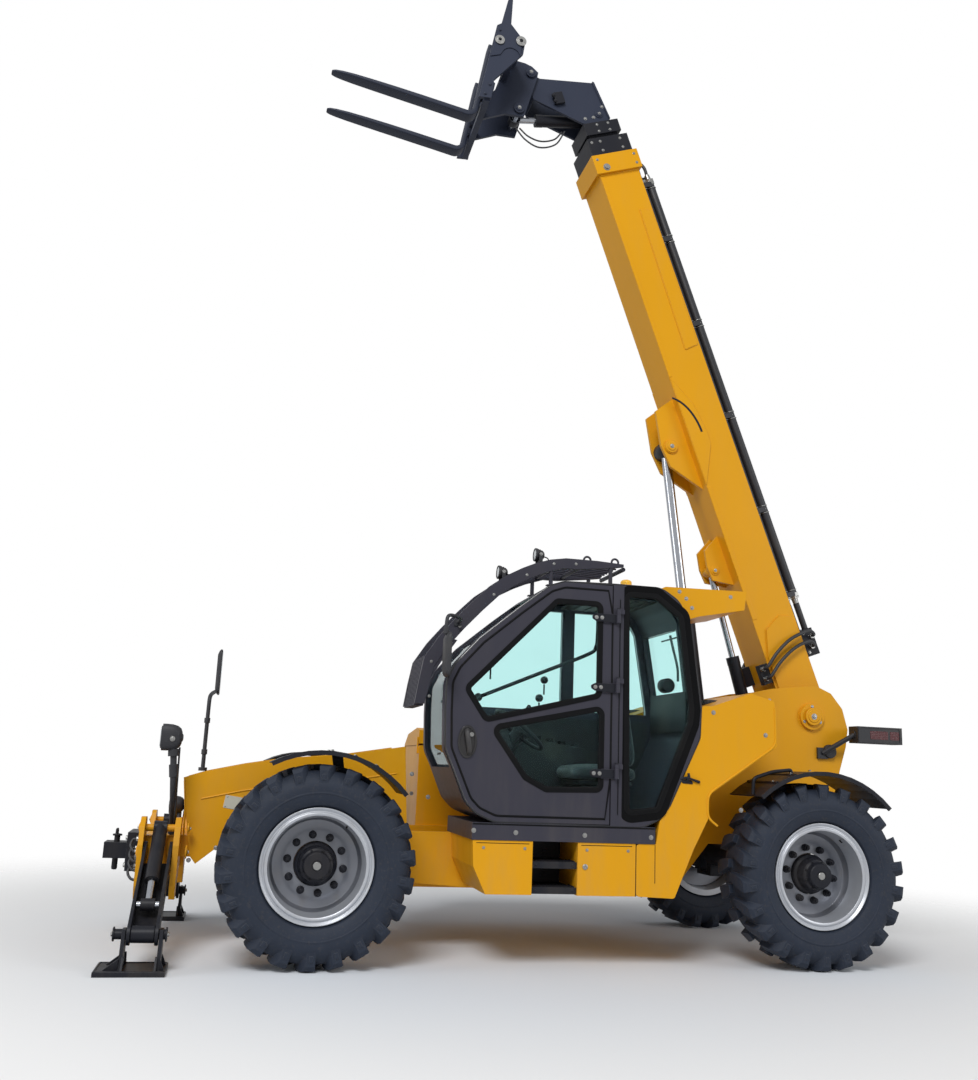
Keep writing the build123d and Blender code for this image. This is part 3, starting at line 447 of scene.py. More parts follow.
# ---------------------------------------------------------------- finishes
class Wire:
    """A value on its way through a finish; arithmetic on it adds the nodes that work it out."""

    def __init__(self, look, socket):
        self.look = look
        self.socket = socket

    def _maths(self, operation, a, b):
        return self.look.node("ShaderNodeMath", {"operation": operation}, {0: a, 1: b})

    def __add__(self, other):
        return self._maths("ADD", self, other)

    def __sub__(self, other):
        return self._maths("SUBTRACT", self, other)

    def __rsub__(self, other):
        return self._maths("SUBTRACT", other, self)

    def __mul__(self, other):
        return self._maths("MULTIPLY", self, other)

    __radd__ = __add__
    __rmul__ = __mul__

    def between(self, low, high, start=0.0, end=1.0):
        """Runs softly from start to end as the value goes from low to high."""
        return self.look.node("ShaderNodeMapRange", {"interpolation_type": "SMOOTHSTEP"},
                              {0: self, 1: low, 2: high, 3: start, 4: end})


class Nodes:
    """A node tree being filled; every node comes from node()."""

    def __init__(self, owner):
        owner.use_nodes = True
        self.tree = owner.node_tree
        self.tree.nodes.clear()

    def _join(self, socket, value):
        if isinstance(value, Wire):
            self.tree.links.new(value.socket, socket)
        elif hasattr(socket.default_value, "__len__"):
            size = len(socket.default_value)
            socket.default_value = [*value, 1.0][:size] if len(value) < size else value[:size]
        else:
            socket.default_value = value

    def node(self, kind, settings, values, out=0):
        """Adds a node: its settings first, then the values or wires of its sockets."""
        made = self.tree.nodes.new(kind)
        for key, value in settings.items():
            setattr(made, key, value)
        for key, value in values.items():
            self._join(made.inputs[key], value)
        return Wire(self, made.outputs[out]) if made.outputs else made


class Look(Nodes):
    """A finish: one material with its shader, and the patterns that are joined to it."""

    def __init__(self, name, colour=(0.5, 0.5, 0.5), **values):
        self.material = bpy.data.materials.new(name)
        super().__init__(self.material)
        self.surface = self.node("ShaderNodeBsdfPrincipled", {}, {})
        self.output = self.node("ShaderNodeOutputMaterial", {}, {0: self.surface})
        self.material.diffuse_color = (*colour[:3], 1)
        self.put("Base Color", colour)
        for name_, value in values.items():
            self.put(name_.replace("_", " ").title().replace("Ior", "IOR"), value)

    def put(self, socket, value):
        self._join(self.surface.socket.node.inputs[socket], value)
        return self

    # -- where on the object
    def where(self, scale=(1, 1, 1), turn=(0, 0, 0)):
        place = self.node("ShaderNodeTexCoord", {}, {}, "Object")
        if scale == (1, 1, 1) and turn == (0, 0, 0):
            return place
        return self.node("ShaderNodeMapping", {}, {"Vector": place, "Scale": scale, "Rotation": turn})

    def axis(self, index):
        return self.node("ShaderNodeSeparateXYZ", {}, {0: self.where()}, index)

    # -- patterns
    def cloud(self, size, detail=3.0, rough=0.55, stretch=(1, 1, 1), twist=0.0):
        """Soft random pattern, 0 to 1, whose lumps are about this size in metres."""
        return self.node("ShaderNodeTexNoise", {}, {"Vector": self.where(stretch), "Scale": 1 / size,
                                                    "Detail": detail, "Roughness": rough, "Distortion": twist})

    def cells(self, size, feature="F1"):
        return self.node("ShaderNodeTexVoronoi", {"feature": feature}, {"Vector": self.where(), "Scale": 1 / size})

    def stripes(self, size, direction="X", twist=0.0):
        return self.node("ShaderNodeTexWave", {"bands_direction": direction},
                         {"Vector": self.where(), "Scale": 0.3183 / size, "Distortion": twist})

    def soft_edge(self, radius):
        return self.node("ShaderNodeBevel", {"samples": 4}, {"Radius": radius})

    def edges(self, radius):
        """Edges and corners of the form, 0 on its faces."""
        normal = self.node("ShaderNodeNewGeometry", {}, {}, "True Normal")
        near = self.node("ShaderNodeVectorMath", {"operation": "DOT_PRODUCT"},
                         {0: self.soft_edge(radius), 1: normal}, "Value")
        return (1 - near).between(0.03, 0.25)

    # -- joining
    def mix(self, mask, a, b, mode="MIX"):
        return self.node("ShaderNodeMix", {"data_type": "RGBA", "blend_type": mode}, {0: mask, 6: a, 7: b}, 2)

    def bump(self, height, depth, normal=None):
        values = {"Height": height, "Distance": depth, "Strength": 1.0}
        if normal:
            values["Normal"] = normal
        self.put("Normal", self.node("ShaderNodeBump", {}, values))
        return self


def shade(colour, by):
    return tuple(min(1.0, c * by) for c in colour)


def mixed(a, b, t):
    return tuple(x + (y - x) * t for x, y in zip(a, b))


DUST = (0.3, 0.25, 0.18)
BARE_STEEL = (0.33, 0.33, 0.34)


def paint(name, colour, gloss=0.32, shine=0.3, coat=0.1, dust=0.16, wear=0.5, edge=0.004, grain=0.00025):
    """Sprayed paint: faint orange peel, cloudy tone, dust low down that thins out higher up, worn edges."""
    look = Look(name, colour, roughness=gloss, specular_ior_level=shine, coat_weight=coat, coat_roughness=0.12)
    tone = look.cloud(0.9, 4)
    body = look.mix(tone, shade(colour, 0.93), shade(colour, 1.05))
    specks = look.cloud(0.012, 5, 0.65)
    streaks = look.cloud(0.16, 4, 0.6, (1, 1, 0.22))
    low = look.axis(2).between(0.2, 1.5, 1.0, 0.25)
    film = low * streaks.between(0.42, 0.72) * dust
    body = look.mix(film, body, DUST)
    rubbed = look.edges(edge) * specks.between(0.44, 0.62) * wear
    body = look.mix(rubbed, body, mixed(colour, BARE_STEEL, 0.45))
    look.put("Base Color", body)
    look.put("Roughness", look.cloud(0.05, 3) * 0.1 + film * 0.8 + (gloss - 0.05))
    look.bump(look.cloud(0.0035, 2) + specks * 0.4, grain, look.soft_edge(edge))
    return look.material


def moulded(name, colour, rough=0.55, grain=0.004, depth=0.0004, edge=0.003, dust=0.12, shine=0.5):
    """Grained plastic or rubber trim, a little paler on its edges."""
    look = Look(name, colour, roughness=rough, specular_ior_level=shine)
    pebble = look.cells(grain)
    tone = look.cloud(0.25, 4)
    body = look.mix(tone, shade(colour, 0.85), shade(colour, 1.15))
    body = look.mix(look.edges(edge) * 0.35, body, mixed(colour, (0.3, 0.3, 0.3), 0.2))
    body = look.mix(look.cloud(0.4, 5).between(0.5, 0.75) * dust, body, DUST)
    look.put("Base Color", body)
    look.put("Roughness", look.cloud(0.03, 4) * 0.12 + (rough - 0.06))
    look.bump(pebble + look.cloud(0.001, 2) * 0.3, depth, look.soft_edge(edge))
    return look.material


def metal(name, colour, rough=0.3, brushed="X", depth=0.0001, edge=0.002, shine=1.0):
    """Bare or plated metal with fine turning marks and dulled patches."""
    look = Look(name, colour, roughness=rough, metallic=shine)
    stretch = {"X": (0.04, 1, 1), "Y": (1, 0.04, 1), "Z": (1, 1, 0.04)}[brushed]
    marks = look.cloud(0.0012, 4, 0.6, stretch)
    dull = look.cloud(0.06, 4).between(0.45, 0.75)
    look.put("Base Color", look.mix(dull * 0.4, colour, shade(colour, 0.72)))
    look.put("Roughness", dull * 0.14 + marks * 0.08 + (rough - 0.04))
    look.bump(marks, depth, look.soft_edge(edge))
    return look.material


def tyre_rubber(name, colour):
    """Tyre: dusty matt rubber with fine moulding rings and scuffed lugs."""
    look = Look(name, colour, roughness=0.72, specular_ior_level=0.35)
    tone = look.cloud(0.12, 5)
    scuff = look.cloud(0.02, 5, 0.65).between(0.5, 0.8)
    body = look.mix(tone, shade(colour, 0.75), shade(colour, 1.25))
    body = look.mix(scuff * 0.22, body, mixed(colour, DUST, 0.4))
    body = look.mix(look.edges(0.006) * 0.4, body, mixed(colour, (0.25, 0.25, 0.26), 0.35))
    look.put("Base Color", body)
    look.put("Roughness", scuff * 0.12 + 0.66)
    look.bump(look.cloud(0.004, 4) + scuff * 0.5, 0.0008, look.soft_edge(0.004))
    return look.material


def rim_paint(name, colour):
    """Silver wheel paint: fine flake, stone chips and a little brake dust in patches."""
    look = Look(name, colour, roughness=0.36, metallic=0.55, coat_weight=0.3, coat_roughness=0.15)
    flake = look.cells(0.0016)
    chips = look.cells(0.028).between(0.1, 0.02) * look.cloud(0.12, 3).between(0.52, 0.62)
    body = look.mix(look.cloud(0.2, 4), shade(colour, 0.9), shade(colour, 1.06))
    body = look.mix(chips * 0.7, body, (0.12, 0.1, 0.09))
    body = look.mix(look.cloud(0.07, 5).between(0.5, 0.8) * 0.16, body, DUST)
    look.put("Base Color", body)
    look.put("Roughness", flake * 0.1 + chips * 0.3 + 0.32)
    look.bump(flake * 0.5 - chips, 0.0002, look.soft_edge(0.003))
    return look.material


def window_glass(name, tint):
    """Thin tinted pane with a trace of dust."""
    look = Look(name, tint, roughness=0.02, ior=1.12, transmission_weight=1.0)
    film = look.cloud(0.35, 5).between(0.45, 0.8)
    look.put("Base Color", look.mix(film * 0.25, tint, shade(tint, 0.9)))
    look.put("Roughness", film * 0.03 + 0.005)
    return look.material


def lens(name, tint, rough=0.12, size=0.012, glow=0.0):
    """Moulded lamp lens with its grid of small prisms."""
    look = Look(name, tint, roughness=rough, coat_weight=0.6, coat_roughness=0.05)
    grid = look.stripes(size, "X") + look.stripes(size, "Z") + look.stripes(size, "Y")
    look.put("Base Color", look.mix(grid.between(0.9, 2.4), shade(tint, 0.75), shade(tint, 1.15)))
    if glow:
        look.put("Emission Color", tint)
        look.put("Emission Strength", glow)
    look.bump(grid, 0.0015)
    return look.material


def woven(name, colour):
    """Dark seat cloth: over and under threads with a soft sheen."""
    look = Look(name, colour, roughness=0.85, sheen_weight=0.3, sheen_roughness=0.5)
    weave = look.stripes(0.0028, "X") * look.stripes(0.0028, "Z") + look.stripes(0.0028, "Y")
    tone = look.cloud(0.05, 4)
    body = look.mix(weave.between(0.2, 1.4), shade(colour, 0.6), shade(colour, 1.5))
    look.put("Base Color", look.mix(tone * 0.35, body, shade(colour, 2.0)))
    look.bump(weave + tone * 0.6, 0.0007)
    return look.material


def floor_look(name, colour, inner, outer):
    """Pale ground that fades away with distance from the middle, with a painted bluish shadow that darkens it near the
    middle.
    """
    look = Look(name, colour, roughness=0.9)
    away = look.node("ShaderNodeVectorMath", {"operation": "LENGTH"}, {0: look.where()}, "Value")
    worn = look.mix(look.cloud(1.5, 3), shade(colour, 0.985), colour)
    # painted shadow: a darker bluish grey near the middle, under the machine, fading out into the pale ground
    look.put("Base Color", look.mix(away.between(inner * 0.3, inner * 1.6), (0.78, 0.83, 0.9), worn))
    clear = look.node("ShaderNodeBsdfTransparent", {}, {})
    faded = look.node("ShaderNodeMixShader", {}, {0: away.between(inner, outer), 1: look.surface, 2: clear})
    look.tree.links.new(faded.socket, look.output.inputs[0])
    return look.material


LOOKS = {}


# ---------------------------------------------------------------- settings
def length(name, description, default, **more):
    return FloatProperty(name=name, description=description, default=default, min=0.0,
                         subtype="DISTANCE", unit="LENGTH", **more)


def colour(name, description, default):
    return FloatVectorProperty(name=name, description=description, default=default, size=3,
                               min=0.0, max=1.0, subtype="COLOR")


class TelehandlerPaints(PropertyGroup):
    body: colour("Body", "Gloss paint of the body and the boom", (0.8, 0.372, 0.008))
    cab: colour("Cab", "Satin paint of the cab and its door", (0.045, 0.044, 0.06))
    dark: colour("Dark parts", "Paint of the axles, guard, legs and cylinders", (0.013, 0.014, 0.02))
    head: colour("Boom head", "Paint of the boom head, carriage and tines", (0.03, 0.037, 0.062))
    trim: colour("Trim", "Moulded plastic and rubber", (0.02, 0.021, 0.026))
    tyre: colour("Tyre", "Tyre rubber", (0.017, 0.024, 0.041))
    rim: colour("Rim", "Paint of the wheel rims", (0.52, 0.54, 0.58))
    dish: colour("Wheel dish", "Paint inside the wheel rims", (0.21, 0.22, 0.25))
    glass: colour("Glass", "Tint of the windows", (0.72, 0.93, 0.92))
    seat: colour("Seat cloth", "Cloth of the seat", (0.02, 0.021, 0.026))
    amber: colour("Beacon", "Lens of the beacon", (0.95, 0.5, 0.03))
    plate: colour("Plate", "Bare plate on the front frame", (0.62, 0.6, 0.5))


class TelehandlerSizes(PropertyGroup):
    lugs: IntProperty(name="Lugs", description="Lugs on each shoulder of a tyre", default=22, min=8, max=40)
    lug_width: length("Lug width", "Width of a tyre lug along the tread", 0.086)
    stud_circle: length("Stud circle", "Radius of the circle of wheel studs", 0.17)
    studs: IntProperty(name="Studs", description="Studs in each wheel", default=10, min=4, max=16)
    gasket: length("Gasket", "Width of the black band round a window", 0.022)
    bolt: length("Bolt", "Radius of a usual bolt head", 0.011)
    hose: length("Hose", "Radius of a hydraulic hose", 0.013)


class TelehandlerStage(PropertyGroup):
    floor: length("Floor", "Radius of the pale floor", 16.0)
    key: FloatProperty(name="Key light", description="Power of the large soft lamp", default=1950.0,
                       min=0.0, subtype="POWER", unit="POWER")
    sky: FloatProperty(name="Sky", description="Strength of the even light from all round", default=0.27, min=0.0)
    lens: FloatProperty(name="Lens", description="Focal length of the camera", default=35.34,
                        min=1.0, subtype="DISTANCE_CAMERA", unit="CAMERA")


def paints():
    return bpy.context.scene.telehandler_paints


def sizes():
    return bpy.context.scene.telehandler_sizes


# ---------------------------------------------------------------- finishes of the solids
FINISH_OF_SLOT = {
    "body_yellow": "body", "cab_grey": "cab", "black_paint": "dark", "chrome_rod": "chrome",
    "hose_rubber": "hose", "glass": "glass", "seat_fabric": "cloth", "trim_plastic": "trim",
    "amber": "amber", "tyre": "tyre", "rim_silver": "rim",
}
SLOT_OF_FINISH = {finish: slot for slot, finish in FINISH_OF_SLOT.items()} | {
    "rubber": "trim_plastic", "glossy": "trim_plastic", "edge": "trim_plastic", "zinc": "rim_silver",
    "plate": "rim_silver", "head": "black_paint", "tine": "black_paint", "red": "amber",
}
FINISH_OF_NODE = {
    "boom_head": "head", "carriage": "head", "tines": "tine", "cab_floor": "cab",
    "mirrors": "trim", "headlamps": "trim", "tail_lamps": "trim", "work_lamps": "trim",
}


class TELEHANDLER_OT_finishes(Operator):
    """Makes the finishes and gives each solid its own"""
    bl_idname = "telehandler.finishes"
    bl_label = "Finishes"

    def execute(self, context):
        c = paints()
        LOOKS.update({
            "body": paint("body_yellow", c.body, gloss=0.36, shine=0.2, coat=0.0),
            "cab": paint("cab_grey", c.cab, gloss=0.45, shine=0.22, coat=0.0, dust=0.1, wear=0.35),
            "dark": paint("dark_paint", c.dark, gloss=0.42, shine=0.22, coat=0.0, dust=0.07, wear=0.45),
            "head": paint("head_paint", c.head, gloss=0.45, shine=0.22, coat=0.0, dust=0.03, wear=0.5),
            "tine": paint("tine_paint", shade(c.head, 0.8), gloss=0.5, shine=0.25, coat=0.0, dust=0.02, wear=0.9),
            "trim": moulded("moulded_trim", c.trim),
            "rubber": moulded("gasket_rubber", shade(c.trim, 0.18), rough=0.5, grain=0.0025, depth=0.0002, dust=0.02,
                              shine=0.12),
            "hose": moulded("hose_rubber", shade(c.trim, 0.9), rough=0.45, grain=0.002, depth=0.0003),
            "glossy": moulded("glossy_plastic", shade(c.trim, 0.7), rough=0.22, grain=0.02, depth=0.00005, dust=0.05),
            "edge": moulded("black_glass_edge", shade(c.trim, 0.15), rough=0.12, grain=0.02, depth=0.00003, dust=0.01,
                            shine=0.12),
            "chrome": metal("ground_chrome", (0.46, 0.48, 0.52), rough=0.16, brushed="Z", depth=0.00003),
            "zinc": metal("plated_steel", (0.36, 0.36, 0.35), rough=0.34, brushed="X"),
            "mirror": metal("mirror_glass", (0.6, 0.63, 0.66), rough=0.04, depth=0.000005),
            "tyre": tyre_rubber("tyre_rubber", c.tyre),
            "rim": rim_paint("rim_silver", c.rim),
            "dish": rim_paint("rim_dish", c.dish),
            "glass": window_glass("window_glass", c.glass),
            "cloth": woven("seat_cloth", c.seat),
            "amber": lens("beacon_lens", c.amber, glow=0.25),
            "clear": lens("lamp_lens", (0.72, 0.76, 0.78)),
            "red": lens("tail_lens", (0.085, 0.006, 0.01)),
            "plate": moulded("bare_plate", c.plate, rough=0.5, grain=0.01, depth=0.0001),
        })
        finish_of = {part["node"]: FINISH_OF_SLOT[part["material_slot"]] for part in frame["record"]["subparts"]}
        finish_of.update(FINISH_OF_NODE)
        for name, node in NODES.items():
            node.data.materials.clear()
            node.data.materials.append(LOOKS[finish_of[name]])
        return {"FINISHED"}


# ---------------------------------------------------------------- wheels
def wheel_places():
    for end in ENDS:
        for side, sign in SIDES:
            hub = spot(f"roll_{end}_{side}")
            hub.y = sign * max(abs(y) for y in (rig.box(f"tyre_{end}_{side}")[0][1],
                                                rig.box(f"tyre_{end}_{side}")[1][1]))
            yield f"{end}_{side}", Matrix.Translation(hub) @ Matrix.Diagonal((1, sign, 1, 1))


def arc_point(r, angle, y):
    return (r * cos(angle), y, r * sin(angle))


class TELEHANDLER_OT_tyres(Operator):
    """Tyres with rounded walls, moulded rings and chunky lugs"""
    bl_idname = "telehandler.tyres"
    bl_label = "Tyres"

    def execute(self, context):
        size = sizes()
        low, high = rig.box("tyre_front_left")
        half = (high[1] - low[1]) / 2
        outer = (high[2] - low[2]) / 2
        floor = outer - 0.036
        wall = [(0.301, -0.052), (0.338, -0.052), (0.344, -0.04), (0.35, -0.026), (0.362, -0.018),
                (0.38, -0.011), (0.398, -0.006), (0.412, -0.0035), (0.415, -0.0005), (0.422, -0.0005),
                (0.425, -0.003), (0.448, -0.0012), (0.47, -0.004), (0.492, -0.012), (0.512, -0.024),
                (0.53, -0.04), (0.543, -0.058), (floor, -0.082), (floor + 0.001, -0.14), (floor + 0.002, -half)]
        section = wall + [(r, -2 * half - y) for r, y in reversed(wall[:-1])]
        pitch = 2 * pi / size.lugs
        for name, place in wheel_places():
            tyre = Build(place)
            tyre.turned(section, steps=120, closed=True)
            for mirrored, shift in ((False, 0.0), (True, 0.5)):
                for i in range(size.lugs):
                    middle = -pi / 2 + pitch * (i + shift)
                    self.lug(tyre, middle, size.lug_width, half, outer, mirrored)
            tyre.piece(f"tyre_{name}", f"wheel_{name}", "tyre", bevel=0.005,
                       stands_for=f"tyre_{name}", angle=28)
        return {"FINISHED"}

    def lug(self, tyre, middle, width, half, outer, mirrored):
        """Lug from the shoulder nearly to the middle of the tread, swept back as it goes in."""
        sections = ((-0.0065, outer - 0.112, outer - 0.034, 0.62), (-0.02, outer - 0.1, outer - 0.01, 0.84),
                    (-0.045, outer - 0.07, outer - 0.0015, 0.95), (-0.105, outer - 0.045, outer, 0.92),
                    (-half + 0.012, outer - 0.045, outer - 0.001, 0.6))
        rings = []
        for k, (y, inner_r, outer_r, wide) in enumerate(sections):
            at = -2 * half - y if mirrored else y
            lean = 0.1 * (k / (len(sections) - 1)) ** 1.4
            reach = width * wide / 2 / outer
            rings.append([arc_point(inner_r, middle + lean - reach * 1.18, at),
                          arc_point(outer_r, middle + lean - reach, at),
                          arc_point(outer_r, middle + lean + reach, at),
                          arc_point(inner_r, middle + lean + reach * 1.18, at)])
        tyre.loops(rings)
        face = -2 * half + 0.0065 if mirrored else -0.0065
        inner = 1 if mirrored else -1
        tyre.loops([[arc_point(r, middle + a, y) for r, a in
                     ((outer - 0.093, -0.022), (outer - 0.058, -0.02), (outer - 0.058, 0.02), (outer - 0.093, 0.022))]
                    for y in (face + inner * 0.004, face - inner * 0.004)])


class TELEHANDLER_OT_wheels(Operator):
    """Rims with their rolled edges, dish, hub and studs"""
    bl_idname = "telehandler.wheels"
    bl_label = "Wheels"

    def execute(self, context):
        size = sizes()
        for name, place in wheel_places():
            self.rim(name, place)
            self.hub(name, place, size)
        return {"FINISHED"}

    def rim(self, name, place):
        outer = [(0.285, -0.06), (0.287, -0.04), (0.295, -0.036), (0.302, -0.0355), (0.306, -0.038),
                 (0.31, -0.045), (0.315, -0.046), (0.32, -0.042), (0.329, -0.0345), (0.334, -0.035),
                 (0.335, -0.04), (0.3345, -0.049), (0.318, -0.053), (0.2985, -0.056), (0.2985, -0.205),
                 (0.2985, -0.35), (0.32, -0.353), (0.3345, -0.356), (0.3345, -0.366), (0.29, -0.366),
                 (0.287, -0.35), (0.278, -0.3), (0.276, -0.235), (0.273, -0.12)]
        rim = Build(place)
        rim.turned(outer, steps=96, closed=True)
        rim.finish_index = 1
        dish = [(0.2765, -0.13), (0.2755, -0.18), (0.27, -0.205), (0.255, -0.222), (0.22, -0.226),
                (0.2, -0.221), (0.185, -0.216), (0.13, -0.216), (0.13, -0.232), (0.2, -0.236),
                (0.27, -0.24), (0.2775, -0.23), (0.2785, -0.13)]
        rim.turned(dish, steps=96, closed=True)
        rim.piece(f"rim_{name}", f"wheel_{name}", ["rim", "dish"], bevel=0.0012,
                  stands_for=f"rim_{name}", angle=40)

    def hub(self, name, place, size):
        hub = Build(place)
        hub.turned([(0.126, -0.24), (0.126, -0.196), (0.122, -0.19), (0.112, -0.186), (0.106, -0.18),
                    (0.1, -0.118), (0.096, -0.11), (0.084, -0.106), (0.08, -0.1), (0.078, -0.062),
                    (0.072, -0.056), (0.032, -0.053), (0.03, -0.056), (0.0001, -0.056)], steps=64)
        for k in range(8):
            a = 2 * pi * (k + 0.5) / 8
            hub.bolt(arc_point(0.09, a, -0.107), radius=0.0075, height=0.007, washer=0)
        for k in range(size.studs):
            a = 2 * pi * (k + 0.25) / size.studs
            x, z = size.stud_circle * cos(a), size.stud_circle * sin(a)
            hub.at_place(place @ Matrix.Translation((x, 0, z))).turned([(0.024, -0.218), (0.024, -0.208),
                                                                        (0.0215, -0.205), (0.02, -0.205), (0.02,
                                                                                                           -0.182),
                        (0.0175, -0.178), (0.011, -0.178), (0.011, -0.166), (0.0085, -0.163), (0.0001, -0.163)],
                       steps=12)
        hub.finish_index = 1
        hub.turned([(0.024, -0.058), (0.024, -0.05), (0.021, -0.047), (0.0001, -0.0465)], steps=24)
        hub.piece(f"hub_{name}", f"wheel_{name}", ["dark", "zinc"], bevel=0.0015, angle=40)
        valve = Build(place)
        valve.tube([arc_point(0.283, 2.2, -0.105), arc_point(0.27, 2.2, -0.08), arc_point(0.266, 2.2, -0.06)],
                   [0.006, 0.0045, 0.0045], 10)
        valve.piece(f"valve_{name}", f"wheel_{name}", "rubber")


# ---------------------------------------------------------------- shapes shared by the small parts
def box_of(*nodes):
    """Lowest and highest corner of several solids together."""
    corners = [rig.box(node) for node in nodes]
    return (Vector([min(low[i] for low, _ in corners) for i in range(3)]),
            Vector([max(high[i] for _, high in corners) for i in range(3)]))


def disc_line(x, z, rx, rz=None, steps=40):
    rz = rz or rx
    return [(x + rx * cos(2 * pi * k / steps), z + rz * sin(2 * pi * k / steps)) for k in range(steps)]


def scaled(line, by):
    cx, cz = sum(p[0] for p in line) / len(line), sum(p[1] for p in line) / len(line)
    return [(cx + (x - cx) * by, cz + (z - cz) * by) for x, z in line]


def place_at(origin, out):
    """Place whose local Y points along out."""
    y = Vector(out).normalized()
    x = y.orthogonal().normalized()
    return Matrix.Translation(origin) @ Matrix((x, y, x.cross(y))).transposed().to_4x4()


def pin_end(build, origin, out, radius, proud=0.016, hole=0.0):
    """Turned end of a pin with its collar and chamfer; hole leaves a bore."""
    inner = max(hole, 0.0001)
    profile = [(radius * 1.45, -0.002), (radius * 1.45, 0.005), (radius * 1.38, 0.007), (radius * 1.02, 0.007),
               (radius, proud - 0.003), (radius - 0.003, proud), (inner, proud),
               (inner, 0.0) if hole else (0.0001, proud)]
    turned_at(build, origin, out, profile, steps=28)


# ---------------------------------------------------------------- cab
class TELEHANDLER_OT_cab_windows(Operator):
    """Rubber and black border of the side windows, seal of the door and edge of the cab"""
    bl_idname = "telehandler.cab_windows"
    bl_label = "Window rubbers"

    def execute(self, context):
        wide = sizes().gasket
        face = box_of("cab_floor")[1].y
        for node, body in (("door_glass", "door"), ("cab_glass", "chassis")):
            near_side = [pane for pane in panes(node) if pane[1] > 0.9]
            near_side.sort(key=lambda pane: min(z for _, z in pane[0]))
            for index, (line, outer) in enumerate(near_side):
                rubber = Build()
                rubber.band(inset(line, -0.008), inset(line, wide), face - 0.004, face + 0.004)
                rubber.band(inset(line, wide * 0.35), inset(line, wide + 0.006), outer, face + 0.001)
                rubber.piece(f"rubber_{node}_{index}", body, "rubber", bevel=0.0015)
                if node == "cab_glass":
                    self.border(line, face)
        self.seals(face)
        return {"FINISHED"}

    def border(self, line, face):
        """Black glossy edge of the fixed side glass, up to the door's gap and the cab's rim."""
        gap = box_of("door")[0].x - 0.03
        edge = [(min(x, gap), z) for x, z in inset(line, -0.052)]
        black = Build()
        black.band(edge, [(min(x, gap - 0.004), z) for x, z in inset(line, -0.004)], face - 0.001, face + 0.003)
        black.piece("side_glass_border", "chassis", "edge", bevel=0.001)

    def seals(self, face):
        leaf = side_hull(["door"], face - 0.02, face + 0.001)
        cab = side_hull(["cab_frame", "door"], face - 0.02, face + 0.001)
        ring = Build()
        ring.tube([(x, face - 0.001, z) for x, z in inset(leaf, 0.034)], 0.007, 8, closed=True)
        ring.piece("door_seal", "door", "rubber")
        rim = Build()
        rim.tube([(x, face - 0.008, z) for x, z in inset(cab, -0.002)], 0.009, 8, closed=True)
        rim.piece("cab_rim", "chassis", "glossy")


